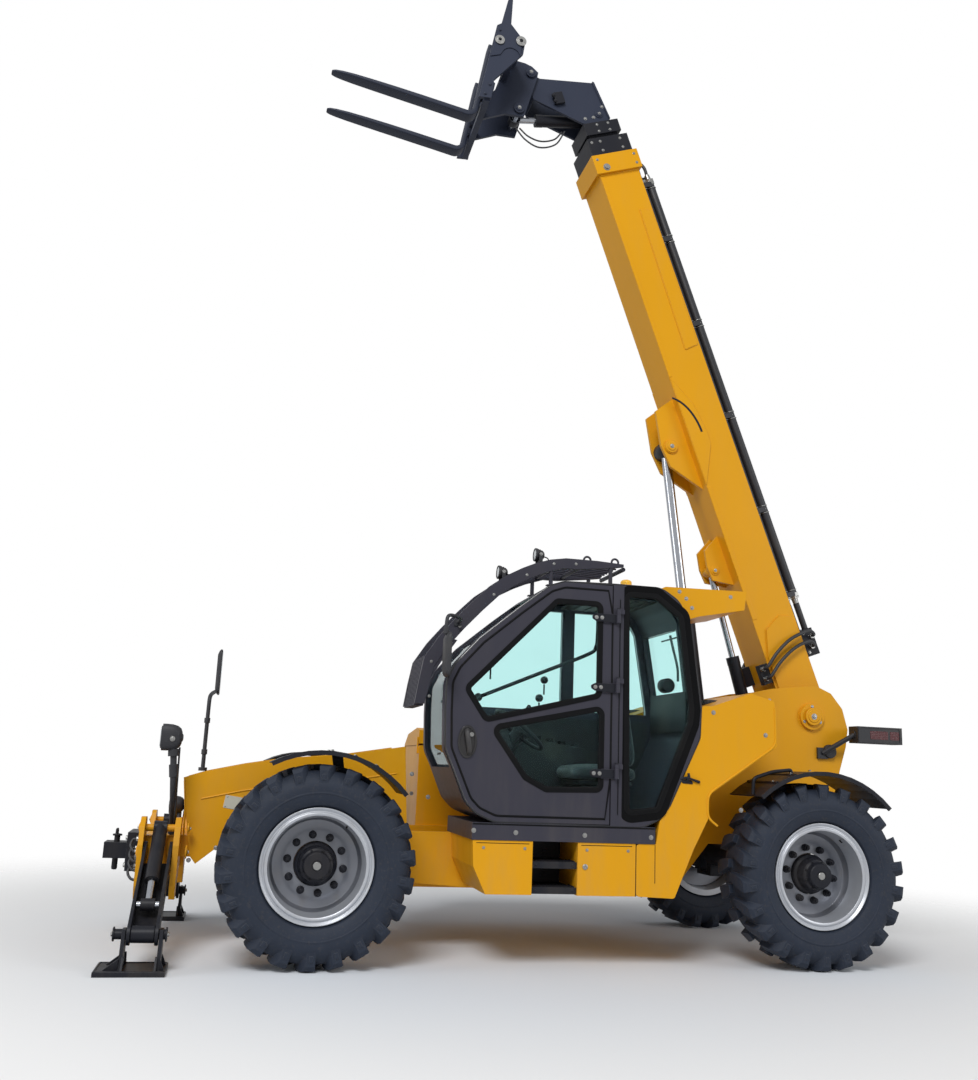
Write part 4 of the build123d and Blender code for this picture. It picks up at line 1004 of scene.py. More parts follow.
class TELEHANDLER_OT_door_parts(Operator):
    """Handle, hinges, gap strip, latch and bolts of the cab's outer side"""
    bl_idname = "telehandler.door_parts"
    bl_label = "Door and cab fittings"

    def execute(self, context):
        face = box_of("cab_floor")[1].y
        self.handle(face)
        self.hinges(face)
        self.bolts(face)
        self.latch(box_of("rear_body")[1].y)
        return {"FINISHED"}

    def handle(self, face):
        x, z = 0.591, 1.34
        cup = Build()
        outer, inner = disc_line(x, z, 0.06, 0.1), disc_line(x, z, 0.047, 0.085)
        cup.band(outer, inner, face - 0.001, face + 0.008)
        cup.side(inner, face - 0.002, face + 0.001)
        cup.piece("handle_cup", "door", "glossy", bevel=0.0025, sections=3)
        grip = Build()
        grip.tube(smooth_path([(x + 0.006, face + 0.002, z + 0.074), (x + 0.006, face + 0.022, z + 0.052),
                               (x - 0.002, face + 0.03, z), (x - 0.012, face + 0.022, z - 0.05),
                               (x - 0.014, face + 0.002, z - 0.072)], 6), 0.011, 12, flat=1.5)
        lock = Build(place_at((x - 0.026, face + 0.001, z + 0.045), (0, 1, 0)))
        lock.turned([(0.014, 0), (0.014, 0.006), (0.012, 0.008), (0.006, 0.008), (0.006, 0.005), (0.0001, 0.005)], 24)
        grip.piece("handle_grip", "door", "trim")
        lock.piece("handle_lock", "door", "zinc")

    def hinges(self, face):
        pin = spot("door_hinge")
        rear_edge = box_of("door")[0].x
        for index, z in enumerate((1.18, 1.72, 2.17)):
            leaf = Build()
            shape = rounded([(pin.x + 0.012, z - 0.027), (pin.x + 0.15, z - 0.024), (pin.x + 0.178, z - 0.008),
                             (pin.x + 0.178, z + 0.012), (pin.x + 0.15, z + 0.027), (pin.x + 0.012, z + 0.027)], 0.008)
            leaf.side(shape, face + 0.0115, face + 0.0165)
            leaf.finish_index = 1
            for x in (pin.x + 0.112, pin.x + 0.15):
                leaf.bolt((x, face + 0.0165, z + 0.001), radius=0.0085, height=0.006)
            leaf.piece(f"hinge_leaf_{index}", "door", ["dark", "zinc"], bevel=0.0015)
            cap = Build(place_at((pin.x, pin.y, z + 0.0615), (0, 0, 1)))
            cap.turned([(0.0135, -0.001), (0.0135, 0.004), (0.01, 0.008), (0.0001, 0.009)], 20)
            cap.piece(f"hinge_cap_{index}", "chassis", "dark")
        strip = Build()
        strip.box(rear_edge - 0.006, rear_edge - 0.001, face - 0.006, face + 0.003, 0.93, 2.3)
        strip.piece("door_gap_strip", "chassis", "rubber")

    def bolts(self, face):
        small = sizes().bolt
        sill = Build()
        low, high = box_of("cab_floor")
        sill.finish_index = 1
        for x, z in ((0.527, 0.812), (0.262, 0.805), (-0.182, 0.8), (-0.62, 0.798)):
            sill.bolt((x, face, z), radius=small * 0.8, height=0.006, washer=1.7)
        sill.finish_index = 0
        sill.box(low.x + 0.004, high.x - 0.004, face - 0.001, face + 0.0025, high.z - 0.012, high.z - 0.004)
        sill.piece("sill_bolts", "chassis", ["rubber", "zinc"], slot="rim_silver")
        cowl = Build()
        side = box_of("cab_cowl")[1].y
        for x, z in ((-0.829, 2.394), (-0.878, 2.35), (-0.919, 2.29), (-1.2, 2.385)):
            cowl.bolt((x, side, z), radius=small * 0.7, height=0.005, washer=1.8)
        cowl.piece("cowl_screws", "chassis", "zinc")

    def latch(self, face):
        hook = Build()
        hook.tube([(-0.815, face - 0.003, 1.168), (-0.86, face + 0.014, 1.176), (-0.9, face + 0.012, 1.165),
                   (-0.948, face + 0.006, 1.15)], [0.009, 0.008, 0.007, 0.01], 10)
        hook.tube([(-0.862, face - 0.002, 1.15), (-0.872, face + 0.016, 1.178), (-0.868, face + 0.016, 1.205)],
                  [0.012, 0.01, 0.008], 10)
        hook.side(rounded([(-0.905, 1.135), (-0.83, 1.14), (-0.825, 1.165), (-0.9, 1.158)], 0.008),
                  face - 0.001, face + 0.004)
        hook.piece("panel_latch", "chassis", "dark", bevel=0.001)


# ---------------------------------------------------------------- inside the cab
def cushion_mesh(outline, low, high, crown, rows=7):
    """Padded block: a flat outline lofted upwards, drawn in at its seams and crowned on top."""
    cx = sum(p[0] for p in outline) / len(outline)
    cy = sum(p[1] for p in outline) / len(outline)
    rings = []
    for k in range(rows):
        t = k / (rows - 1)
        puff = 1 + 0.055 * sin(pi * t) - 0.05 * (1 - sin(pi * t)) ** 3
        rings.append([(cx + (x - cx) * puff, cy + (y - cy) * puff, low + (high - low) * t) for x, y in outline])
    for k in range(1, 5):
        t = 1 - k / 5
        rings.append([(cx + (x - cx) * t * 0.93, cy + (y - cy) * t * 0.93, high + crown * (1 - t ** 2)) for x,
                      y in outline])
    return rings


class TELEHANDLER_OT_seat(Operator):
    """Sprung seat: cushion, back, headrest and its base"""
    bl_idname = "telehandler.seat"
    bl_label = "Seat"

    def execute(self, context):
        low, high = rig.box("seat")
        x0, x1, y0, y1 = low[0] + 0.1, high[0] - 0.012, low[1] + 0.012, high[1] - 0.012
        seat_z = 1.135
        plan = slab(x0, x1, y0, y1, 0.09, 6)
        pad = Build()
        pad.loops(cushion_mesh(plan, seat_z, seat_z + 0.085, 0.022))
        self.padded(pad, "seat_cushion", ("seat",))
        lean = Matrix.Translation((low[0] + 0.15, (y0 + y1) / 2, 1.245)) @ Matrix.Rotation(radians(-82), 4, "Y")
        half = (y1 - y0) / 2 - 0.01
        back_plan = rounded([(0.0, -half), (0.44, -half * 0.93), (0.56, -half * 0.7), (0.56, half * 0.7),
                             (0.44, half * 0.93), (0.0, half)], 0.08, 6)
        back = Build(lean)
        back.loops([[(x, y, -z) for x, y, z in ring] for ring in cushion_mesh(back_plan, -0.055, 0.025, 0.018)])
        self.padded(back, "seat_back", ())
        head = Build(lean @ Matrix.Translation((0.575, 0, 0)))
        head_plan = rounded([(-0.0, -0.115), (0.1, -0.105), (0.1, 0.105), (-0.0, 0.115)], 0.035, 5)
        head.loops([[(x, y, -z) for x, y, z in ring] for ring in cushion_mesh(head_plan, -0.04, 0.02, 0.012)])
        self.padded(head, "headrest", ())
        self.base(low, high)
        return {"FINISHED"}

    def padded(self, build, name, stands_for):
        thing = build.piece(name, "chassis", "cloth", stands_for=stands_for, angle=60, subdivide=1)
        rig.padded(thing, fill=0.7)

    def base(self, low, high):
        base = Build()
        x0, x1, y0, y1 = low[0] + 0.13, high[0] - 0.06, low[1] + 0.05, high[1] - 0.05
        base.box(x0, x1, y0, y1, low[2], low[2] + 0.045)
        for k in range(5):
            z = low[2] + 0.048 + 0.028 * k
            grow = 0.012 if k % 2 else 0.0
            base.box(x0 + 0.03 - grow, x1 - 0.03 + grow, y0 + 0.03 - grow, y1 - 0.03 + grow, z, z + 0.026)
        base.box(x0 - 0.01, x1 + 0.01, y0 - 0.01, y1 + 0.01, 1.105, 1.131)
        base.piece("seat_base", "chassis", "trim", bevel=0.004)


class TELEHANDLER_OT_cab_inside(Operator):
    """Grab bar, knobs, console, gauges, wiper and lining seen through the windows"""
    bl_idname = "telehandler.cab_inside"
    bl_label = "Cab inside"

    def execute(self, context):
        bar = Build()
        bar.tube(smooth_path([(0.52, 0.985, 1.62), (0.13, 0.985, 1.79), (-0.2, 0.985, 1.935), (-0.252, 0.985, 1.985),
                              (-0.262, 0.985, 2.06), (-0.264, 0.985, 2.18)], 6), 0.012, 10)
        for point in ((0.52, 0.985, 1.62), (-0.264, 0.985, 2.18)):
            bar.finish_index = 1
            pin_end(bar, point, (0, 1, 0), 0.018, 0.012)
            bar.finish_index = 0
        bar.piece("door_bar", "door", ["dark", "trim"])
        knobs = Build()
        for x, y, z in ((0.427, 0.9, 1.844), (-0.046, 0.5, 1.793), (0.02, 0.62, 1.66)):
            knobs.tube([(x, y, z - 0.1), (x, y, z - 0.03)], 0.006, 8)
            knobs.at_place(Matrix.Translation((x, y, z))).turned([(0.0001, -0.03), (0.016, -0.024), (0.026, -0.008),
                                                                  (0.026, 0.008), (0.016, 0.024), (0.0001, 0.03)], 16)
        knobs.piece("knobs", "chassis", "glossy")
        self.console()
        self.wiper()
        self.lining()
        sill = Build()
        sill.loops([[(x, y, z) for y, z in slab(0.325, 0.965, 1.47, 1.735, 0.03)]
                    for x in (-0.902, -0.888)])
        sill.piece("rear_sill", "chassis", "trim", bevel=0.004)
        return {"FINISHED"}

    def console(self):
        """Side console with its joystick, and the gauge pod on the dash."""
        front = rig.box("controls")[1][0]
        box = Build()
        box.side(rounded([(-0.42, 0.93), (0.06, 0.93), (0.12, 1.32), (0.02, 1.4), (-0.4, 1.34)], 0.03), 0.305, 0.395)
        box.finish_index = 1
        for k in range(4):
            box.box(-0.34 + 0.09 * k, -0.3 + 0.09 * k, 0.32, 0.375, 1.345 + 0.014 * k, 1.375 + 0.014 * k)
        box.finish_index = 0
        box.tube(smooth_path([(0.03, 0.35, 1.395), (0.045, 0.36, 1.45), (0.035, 0.375, 1.53)], 5), 0.01, 10)
        box.tube([(0.035, 0.375, 1.52), (0.033, 0.378, 1.56), (0.028, 0.382, 1.6), (0.024, 0.384, 1.625)],
                 [0.018, 0.023, 0.021, 0.01], 14)
        box.piece("console", "chassis", ["trim", "glossy"], bevel=0.003)
        pod = Build()
        pod.side(rounded([(front - 0.3, 1.315), (front - 0.145, 1.33), (front - 0.16, 1.42), (front - 0.26, 1.43)],
                         0.02), 0.53, 0.77)
        pod.piece("gauge_pod", "chassis", "trim", bevel=0.004)
        dials = Build()
        for y in (0.58, 0.65, 0.72):
            turned_at(dials, (front - 0.283, y, 1.378), (-1, 0, 0.25),
                      [(0.03, -0.004), (0.03, 0.006), (0.026, 0.008), (0.025, 0.003), (0.0001, 0.003)], 28)
        dials.piece("dials", "chassis", "glossy")

    def wiper(self):
        wiper = Build()
        wiper.tube(smooth_path([(-0.93, 0.6, 2.15), (-0.952, 0.6, 2.06), (-0.985, 0.6, 1.93), (-0.99, 0.6, 1.83)], 6),
                   0.009, 10)
        wiper.tube([(-0.925, 0.46, 2.12), (-0.925, 0.74, 2.12)], 0.006, 8)
        turned_at(wiper, (-0.9, 0.6, 1.795), (0, 1, 0), [(0.0001, -0.05), (0.045, -0.05), (0.05, -0.04), (0.05, 0.04),
                                                         (0.045, 0.05), (0.0001, 0.05)], 28)
        wiper.piece("rear_wiper", "chassis", "dark")

    def lining(self):
        """Moulded lining under the roof and on the inner wall."""
        lining = Build()
        lining.box(-0.7, -0.2, 0.33, 0.96, 2.318, 2.332)
        for k in range(5):
            lining.box(-0.66 + 0.09 * k, -0.63 + 0.09 * k, 0.36, 0.93, 2.31, 2.32)
        lining.side(rounded([(-0.82, 1.0), (-0.72, 0.93), (0.45, 0.93), (0.55, 1.2), (0.55, 1.55), (-0.88, 1.55)],
                            0.04),
                    0.297, 0.304)
        lining.piece("lining", "chassis", "trim", bevel=0.003)


# ---------------------------------------------------------------- boom
NOSE = 0.128                # half width of the boom's nose
BOOM_HALF = 0.18
COLLAR_BOLTS = (            # body, half width of the collar, places along and above the boom, bolt radius
    ("boom", 0.208, ((4.605, -0.03),), 0.02),
    ("boom", 0.208, ((4.6, 0.24), (4.68, 0.24), (4.68, -0.09)), 0.008),
    ("section_2", 0.184, ((4.765, 0.0), (4.845, 0.0), (4.765, 0.18), (4.845, 0.18), (4.845, -0.075)), 0.008),
    ("section_3", 0.16, ((4.947, 0.035), (5.006, 0.035), (4.947, 0.135), (5.006, 0.135)), 0.0075),
)
SIDE_PLATES = (             # outlines of the plates on the boom's side and how far each stands out
    ([(-0.23, -0.08), (-0.23, 0.2), (0.3, 0.238), (0.62, 0.236), (0.74, 0.205), (0.772, 0.12),
      (0.7, -0.02), (0.5, -0.08)], 0.014),
    ([(1.9, -0.097), (2.2, 0.05), (2.3, 0.056), (2.54, 0.02), (2.79, -0.097)], 0.009),
    ([(2.99, 0.115), (3.01, 0.232), (4.18, 0.24), (4.21, 0.14)], 0.007),
)
PIPES = ((0.072, 0.362, 0.034), (-0.072, 0.362, 0.034), (0.078, 0.295, 0.024), (-0.078, 0.295, 0.024))


def pin_pair(name, body, at, x, z, y, radius, proud=0.014, finishes=("dark", "zinc")):
    """The two ends of a cross pin, each with its plate and a bolt in the middle."""
    pins = Build(at)
    for sign in BOTH:
        pins.finish_index = 0
        pin_end(pins, at @ Vector((x, sign * y, z)), at.to_3x3() @ Vector((0, sign, 0)), radius, proud)
        pins.finish_index = 1
        pins.bolt((x, sign * (y + proud), z), (0, sign, 0), radius * 0.34, 0.007, 1.5)
    return pins.piece(name, body, list(finishes), slot="black_paint", angle=30)


class TELEHANDLER_OT_boom_parts(Operator):
    """Collar bolts, welds round the side plates, pins and covers of the boom"""
    bl_idname = "telehandler.boom_parts"
    bl_label = "Boom fittings"

    def execute(self, context):
        for index, (body, half, places, radius) in enumerate(COLLAR_BOLTS):
            bolts = Build(BOOM)
            for sign in BOTH:
                for u, v in places:
                    bolts.bolt((u, sign * half, v), (0, sign, 0), radius, radius * 0.7)
            bolts.piece(f"collar_bolts_{index}", body, "zinc", slot="chrome_rod")
        self.welds()
        self.slot_ring()
        self.covers()
        pin_pair("lift_eye_pins", "boom", BOOM, 2.272, -0.244, 0.124, 0.034, finishes=("body", "zinc"))
        pin_pair("comp_eye_pins", "boom", BOOM, 1.25, -0.214, 0.08, 0.026, finishes=("body", "zinc"))
        return {"FINISHED"}

    def welds(self):
        beads = Build(BOOM)
        for line, _ in SIDE_PLATES:
            for sign in BOTH:
                y = sign * (BOOM_HALF + 0.0015)
                ring = [(u, y, v) for u, v in rounded(inset(hull(line), -0.002), 0.012, 3)]
                beads.tube(ring, 0.0045, 6, closed=True)
        for u in (4.555, 4.725):
            half = BOOM_HALF + (0.0 if u < 4.6 else -0.03)
            corners = [(half, -0.1), (half, 0.25), (-half, 0.25), (-half, -0.1)]
            beads.tube([(u, y, v) for y, v in rounded(corners, 0.006, 2)], 0.005, 6, closed=True)
        beads.piece("boom_welds", "boom", "body")

    def slot_ring(self):
        """Curved slot in the bracket plate, drawn as a thin dark sheet of painted shade, and the raised rib along the
        lower edge.
        """
        # painted shade: a thin dark arc sheet on the plate stands for the shadowed inside of the curved slot
        slot = Build(BOOM)
        arc = [(2.3 + 0.36 * cos(a), -0.215 + 0.235 * sin(a))
               for a in [radians(20 + 68 * k / 20) for k in range(21)]]
        outer = arc + [(2.3 + 0.345 * cos(a), -0.215 + 0.217 * sin(a))
                       for a in [radians(88 - 68 * k / 20) for k in range(21)]]
        for sign in BOTH:
            y = sign * (BOOM_HALF + 0.009)
            slot.side(outer, y - 0.001, y + 0.0012)
        slot.piece("bracket_slot_painted_shade", "boom", "dark")
        ribs = Build(BOOM)
        for sign in BOTH:
            y = sign * BOOM_HALF
            ribs.box(0.8, 1.88, y - 0.003, y + 0.004, -0.099, -0.062)
            ribs.box(2.8, 4.54, y - 0.003, y + 0.004, -0.099, -0.074)
        ribs.piece("boom_ribs", "boom", "body", bevel=0.0025)

    def covers(self):
        """Cover on the boom's rear end and the small plates along its top."""
        cover = Build(BOOM)
        tail = -0.18
        line = slab(-0.13, 0.13, -0.06, 0.2, 0.03)
        cover.cross([(y, v) for y, v in line], tail - 0.008, tail + 0.001)
        for u in (2.0, 2.8, 3.6):
            cover.loops([[(u + a, b, v) for a, b in slab(-0.09, 0.09, -0.05, 0.05, 0.02)] for v in (0.249, 0.254)])
        cover.finish_index = 1
        for y in (-0.11, 0.11):
            for v in (-0.04, 0.07, 0.18):
                cover.bolt((tail - 0.008, y, v), (-1, 0, 0), 0.01, 0.007)
        cover.piece("boom_covers", "boom", ["body", "zinc"], bevel=0.002)


class TELEHANDLER_OT_boom_hoses(Operator):
    """Hoses and fittings at both ends of the boom's tubes, and the tubes' clamps"""
    bl_idname = "telehandler.boom_hoses"
    bl_label = "Boom hoses"

    def execute(self, context):
        size = sizes()
        clamps = Build(BOOM)
        for u in (0.9, 1.6, 2.4, 3.2, 3.95, 4.44):
            for y, v, r in PIPES:
                for shift in (-0.028, 0.028):
                    clamps.tube([(u + shift, y + (r + 0.003) * cos(a), v + (r + 0.003) * sin(a))
                                 for a in [2 * pi * k / 16 for k in range(16)]], 0.0035, 6, closed=True)
            for y in (-0.098, 0.0, 0.098):
                clamps.bolt((u, y, 0.36), (0, 0, 1), 0.009, 0.008)
        clamps.piece("pipe_clamps", "boom", "zinc")
        ends = Build(BOOM)
        for y, v, r in PIPES:
            for u, way in ((0.86, -1), (4.49, 1)):
                ends.tube([(u - way * 0.045, y, v), (u + way * 0.001, y, v)], r + 0.007, 6)
                ends.tube([(u, y, v), (u + way * 0.045, y, v)], [r * 0.75, r * 0.62], 14)
        ends.piece("pipe_ends", "boom", "zinc", bevel=0.0015)
        self.foot(size.hose)
        self.top(size.hose)
        return {"FINISHED"}

    def foot(self, radius):
        """Tubes carried on down to a block behind the boom, and hoses from it over the boom's sides."""
        tubes = Build(BOOM)
        for y, v, r in PIPES:
            tubes.tube([(0.82, y, v), (0.6, y, v)], r * 0.7, 16)
        tubes.piece("foot_tubes", "boom", "hose")
        block = Build(BOOM)
        block.box(0.4, 0.61, -0.118, 0.118, 0.249, 0.392)
        block.finish_index = 1
        hoses = Build(BOOM)
        for sign in BOTH:
            for shift, v in ((0.0, 0.365), (-0.075, 0.34)):
                u = 0.545 + shift
                line = smooth_path([(u, sign * 0.118, v), (u + 0.012, sign * 0.175, v - 0.004),
                                    (u + 0.05, sign * 0.222, v - 0.07),
                                    (u + 0.035, sign * 0.238, 0.128), (u - 0.03, sign * 0.236, -0.02),
                                    (u - 0.105, sign * 0.222, -0.12), (u - 0.12, sign * 0.19, -0.15)], 8)
                hoses.tube(line, radius, 12)
                block.tube([(u, sign * 0.116, v), (u, sign * 0.14, v)], 0.021, 6)
                block.tube([(u - 0.119, sign * 0.196, -0.146), (u - 0.121, sign * 0.172, -0.16)], 0.02, 6)
            block.finish_index = 0
            block.box(0.31, 0.46, *sorted((sign * 0.12, sign * 0.175)), -0.175, -0.1)
            block.finish_index = 1
            for u in (0.43, 0.58):
                for v in (0.27, 0.31):
                    block.bolt((u, sign * 0.118, v), (0, sign, 0), 0.008, 0.006)
        hoses.piece("foot_hoses", "boom", "hose")
        block.piece("foot_block", "boom", ["dark", "zinc"], bevel=0.002)

    def top(self, radius):
        hoses = Build(BOOM)
        for y, v, _ in PIPES:
            line = smooth_path([(4.52, y, v), (4.6, y * 0.95, v + 0.004), (4.655, y * 0.75, v - 0.015),
                                (4.675, y * 0.6, 0.292)], 6)
            hoses.tube(line, radius, 12)
        hoses.piece("top_hoses", "boom", "hose")
        bracket = Build(BOOM)
        bracket.box(4.64, 4.71, -0.09, 0.09, 0.276, 0.296)
        bracket.box(4.5, 4.512, -0.1, 0.1, 0.25, 0.33)
        bracket.piece("hose_bracket", "boom", "dark", bevel=0.002)


class TELEHANDLER_OT_head_parts(Operator):
    """Pins, plates and bolts of the boom's nose and of the carriage"""
    bl_idname = "telehandler.head_parts"
    bl_label = "Head fittings"

    def execute(self, context):
        pin_pair("head_pivot_pin", "carriage", HEAD, 0.0, 0.0, 0.173, 0.029, finishes=("head", "zinc"))
        pin_pair("tilt_eye_pin", "carriage", HEAD, 0.03, -0.35, 0.172, 0.03, finishes=("head", "zinc"))
        pin_pair("fork_shaft_ends", "carriage", HEAD, 0.33, -0.03, 0.457, 0.027, 0.01, finishes=("zinc", "dark"))
        pin_pair("cross_bar_ends", "carriage", HEAD, 0.165, 0.02, 0.457, 0.029, 0.01, finishes=("zinc", "dark"))
        pin_pair("tilt_foot_pin", "boom_head", BOOM, 5.11, 0.1, NOSE, 0.024, finishes=("head", "zinc"))
        self.cheeks()
        self.nose()
        self.hoses(sizes().hose)
        return {"FINISHED"}

    def cheeks(self):
        """Doubling plates with a hollowed lower edge outside the carriage, and ribs inside it."""
        plates = Build(HEAD)
        hollow = [(0.215 + 0.075 * cos(a),
                   -0.135 + 0.075 * sin(a)) for a in [radians(172 - 142 * k / 12) for k in range(13)]]
        line = [(0.146, 0.012), (0.15, -0.03), *hollow, (0.3, -0.15), (0.372, -0.19), (0.366, 0.09), (0.338, 0.118),
                (0.282, 0.13)]
        for sign in BOTH:
            plates.side(line, *sorted((sign * 0.444, sign * 0.4525)))
            for z in (-0.235, -0.33):
                plates.box(0.332, 0.376, *sorted((sign * 0.395, sign * 0.444)), z - 0.012, z + 0.012)
            for x, z in ((0.345, -0.52), (0.325, -0.43), (0.347, 0.06)):
                plates.bolt((x, sign * 0.4525 if z > 0 else sign * 0.445, z), (0, sign, 0), 0.011, 0.008)
        plates.piece("carriage_cheeks", "carriage", "head", bevel=0.002)
        stops = Build(HEAD)
        for sign in BOTH:
            stops.side(slab(0.235, 0.3, 0.045, -0.085, 0.012),
                       *sorted((sign * 0.15, sign * 0.174)))
            stops.tube([(0.205, sign * 0.178, -0.11), (0.205, sign * 0.416, -0.11)], 0.021, 14)
        stops.piece("carriage_stops", "carriage", "head", bevel=0.002)

    def nose(self):
        """Lips of the top plate, bottom strap, side bolts and the valve block on the boom's nose."""
        nose = Build(BOOM)
        for y0, y1 in ((-NOSE - 0.01, -NOSE + 0.022), (NOSE - 0.022, NOSE + 0.01)):
            nose.side([(5.055, 0.172), (5.055, 0.183), (5.392, 0.149), (5.4, 0.136), (5.385, 0.132)], y0, y1)
        nose.side([(5.335, -0.405), (5.545, -0.434), (5.544, -0.442), (5.335, -0.412)], -NOSE + 0.022, NOSE - 0.022)
        nose.finish_index = 1
        for sign in BOTH:
            for u, v in ((5.09, -0.03), (5.09, 0.045), (5.17, 0.15)):
                nose.bolt((u, sign * NOSE, v), (0, sign, 0), 0.01, 0.007)
        nose.piece("nose_plates", "boom_head", ["head", "zinc"], bevel=0.002)
        block = Build(BOOM)
        block.box(5.245, 5.345, NOSE + 0.001, NOSE + 0.03, -0.245, -0.165)
        for u in (5.27, 5.32):
            block.tube([(u, NOSE + 0.028, -0.235), (u, NOSE + 0.028, -0.262)], 0.014, 6)
        block.piece("valve_block", "boom_head", "dark", bevel=0.003)

    def hoses(self, radius):
        """Two hoses that droop from the boom's nose to the carriage and bend as it tilts."""
        for name, y, ends in (
                ("outer", 0.105, ((-0.196, 6.285), (-0.12, 6.15), (0.014, 6.098), (0.13, 6.15), (0.212, 6.245))),
                ("inner", 0.055, ((-0.187, 6.309), (-0.12, 6.225), (-0.009, 6.188), (0.095, 6.218), (0.17, 6.285)))):
            hose = Build()
            line = [(x, y + 0.01 * sin(k), z) for k, (x, z) in enumerate(ends)]
            hose.tube(smooth_path(line, 10), radius * 0.5, 12)
            hose.piece(f"head_hose_{name}", None, "hose",
                       bends=("boom_head", "carriage", line[0], line[-1]))


class TELEHANDLER_OT_forks(Operator):
    """Two forged forks with a round heel and a tapered blade, hung on the fork shaft"""
    bl_idname = "telehandler.forks"
    bl_label = "Forks"

    SHAFT = (0.33, -0.03)
    STATIONS = ((0.6, 0.039, 0.112), (0.8, 0.038, 0.112), (1.0, 0.035, 0.112), (1.2, 0.03, 0.111),
                (1.34, 0.025, 0.106), (1.43, 0.02, 0.094), (1.48, 0.016, 0.078), (1.505, 0.012, 0.056),
                (1.509, 0.008, 0.04))

    def execute(self, context):
        forks = Build(HEAD)
        for sign in BOTH:
            self.fork(forks, sign * 0.25)
        forks.piece("forks", "carriage", "tine", stands_for="tines", angle=40)
        return {"FINISHED"}

    def fork(self, forks, y):
        middle, turn = 0.376, 0.062
        path = [(middle, z, 0.04, 0.112, 0.0) for z in (0.02, -0.1, -0.25, -0.4, -0.52)]
        heel = (middle + turn, -0.625 + turn)
        for k in range(9):
            a = radians(90 * k / 8)
            path.append((heel[0] - turn * cos(a), heel[1] - turn * sin(a), 0.041, 0.112, a))
        for x, thick, wide in self.STATIONS:
            path.append((x, -0.6445 + 0.0085 * (x - 0.44) + thick / 2, thick, wide, pi / 2))
        rings = []
        for x, z, thick, wide, a in path:
            ring = []
            for across, deep in self.section(wide, thick):
                ring.append((x - deep * cos(a), y + across, z - deep * sin(a)))
            rings.append(ring)
        forks.loops(rings)
        ring = [(r, t) for r, t in ((0.0258, -0.058), (0.0258, 0.058), (0.043, 0.058), (0.047, 0.053),
                                    (0.047, -0.053), (0.043, -0.058))]
        rows = [[(self.SHAFT[0] + r * cos(a), y + t, self.SHAFT[1] + r * sin(a)) for r, t in ring]
                for a in [2 * pi * k / 32 for k in range(33)]]
        forks.loops(rows, caps=False)

    def section(self, wide, thick):
        """Rounded cross-section of the fork."""
        cut = min(0.01, thick * 0.35)
        a, b = wide / 2, thick / 2
        line = [(-a, -b), (a, -b), (a, b), (-a, b)]
        return rounded(line, cut, 3)


# ---------------------------------------------------------------- guard, lamps and mirrors
def turned_at(build, origin, out, profile, steps=32):
    """Adds a turned form whose axis runs from origin along out."""
    build.at_place(place_at(origin, out)).turned(profile, steps)
    return build


class TELEHANDLER_OT_roof_parts(Operator):
    """Work lamps and beacon of the cab's roof"""
    bl_idname = "telehandler.roof_parts"
    bl_label = "Roof lamps"

    def execute(self, context):
        self.lamps()
        self.beacon()
        return {"FINISHED"}

    def lamps(self):
        lamps = Build()
        for x, z in ((0.372, 2.47), (0.12, 2.61)):
            lamps.finish_index = 0
            turned_at(lamps, (x - 0.066, 0.76, z), (1, 0, 0.03),
                      [(0.0001, 0.0), (0.018, 0.001), (0.026, 0.006), (0.034, 0.016), (0.036, 0.026), (0.04, 0.03),
                       (0.04, 0.035), (0.037, 0.037), (0.042, 0.044), (0.045, 0.05), (0.046, 0.064), (0.044, 0.068),
                       (0.04, 0.068), (0.04, 0.06), (0.0001, 0.06)])
            for shift in (-0.052, 0.046):
                lamps.box(x - 0.044, x - 0.02, 0.76 + shift, 0.766 + shift, z - 0.052, z + 0.008)
            lamps.box(x - 0.044, x - 0.02, 0.708, 0.812, z - 0.056, z - 0.05)
            lamps.tube([(x - 0.032, 0.76, z - 0.05), (x - 0.032, 0.76, z - 0.098)], 0.009, 12)
            lamps.tube(smooth_path([(x - 0.064, 0.76, z - 0.006), (x - 0.095, 0.76, z - 0.02),
                                    (x - 0.1, 0.775, z - 0.07), (x - 0.082, 0.8, z - 0.11)], 6), 0.0045, 8)
            lamps.finish_index = 1
            turned_at(lamps, (x - 0.008, 0.76, z + 0.002), (1, 0, 0.03),
                      [(0.0405, 0.0), (0.0395, 0.004), (0.03, 0.008), (0.014, 0.0105), (0.0001, 0.011)])
            lamps.finish_index = 2
            for shift in (-0.053, 0.053):
                lamps.bolt((x - 0.032, 0.76 + shift, z), (0, 1 if shift > 0 else -1, 0), 0.008, 0.006)
        lamps.piece("roof_lamps", "chassis", ["trim", "clear", "zinc"], bevel=0.001,
                    stands_for="work_lamps", angle=30)

    def beacon(self):
        low, high = box_of("beacon")
        foot = Vector(((low.x + high.x) / 2, (low.y + high.y) / 2, low.z))
        lamp = Build()
        turned_at(lamp, foot, (0, 0, 1),
                  [(0.052, 0.0), (0.052, 0.005), (0.046, 0.008), (0.03, 0.012), (0.026, 0.05), (0.028, 0.062),
                   (0.042, 0.068), (0.0445, 0.072), (0.0445, 0.082), (0.0001, 0.082)])
        lamp.finish_index = 1
        dome = [(0.041, 0.08), (0.0415, 0.09)]
        for k in range(5):
            h = 0.092 + 0.009 * k
            dome += [(0.0405, h), (0.0415, h + 0.003), (0.0405, h + 0.006)]
        dome += [(0.038, 0.142), (0.03, 0.15), (0.016, 0.1545), (0.0001, 0.155)]
        turned_at(lamp, foot, (0, 0, 1), dome, 40)
        lamp.piece("beacon_lamp", "chassis", ["trim", "amber"], slot="amber", stands_for="beacon", angle=30)

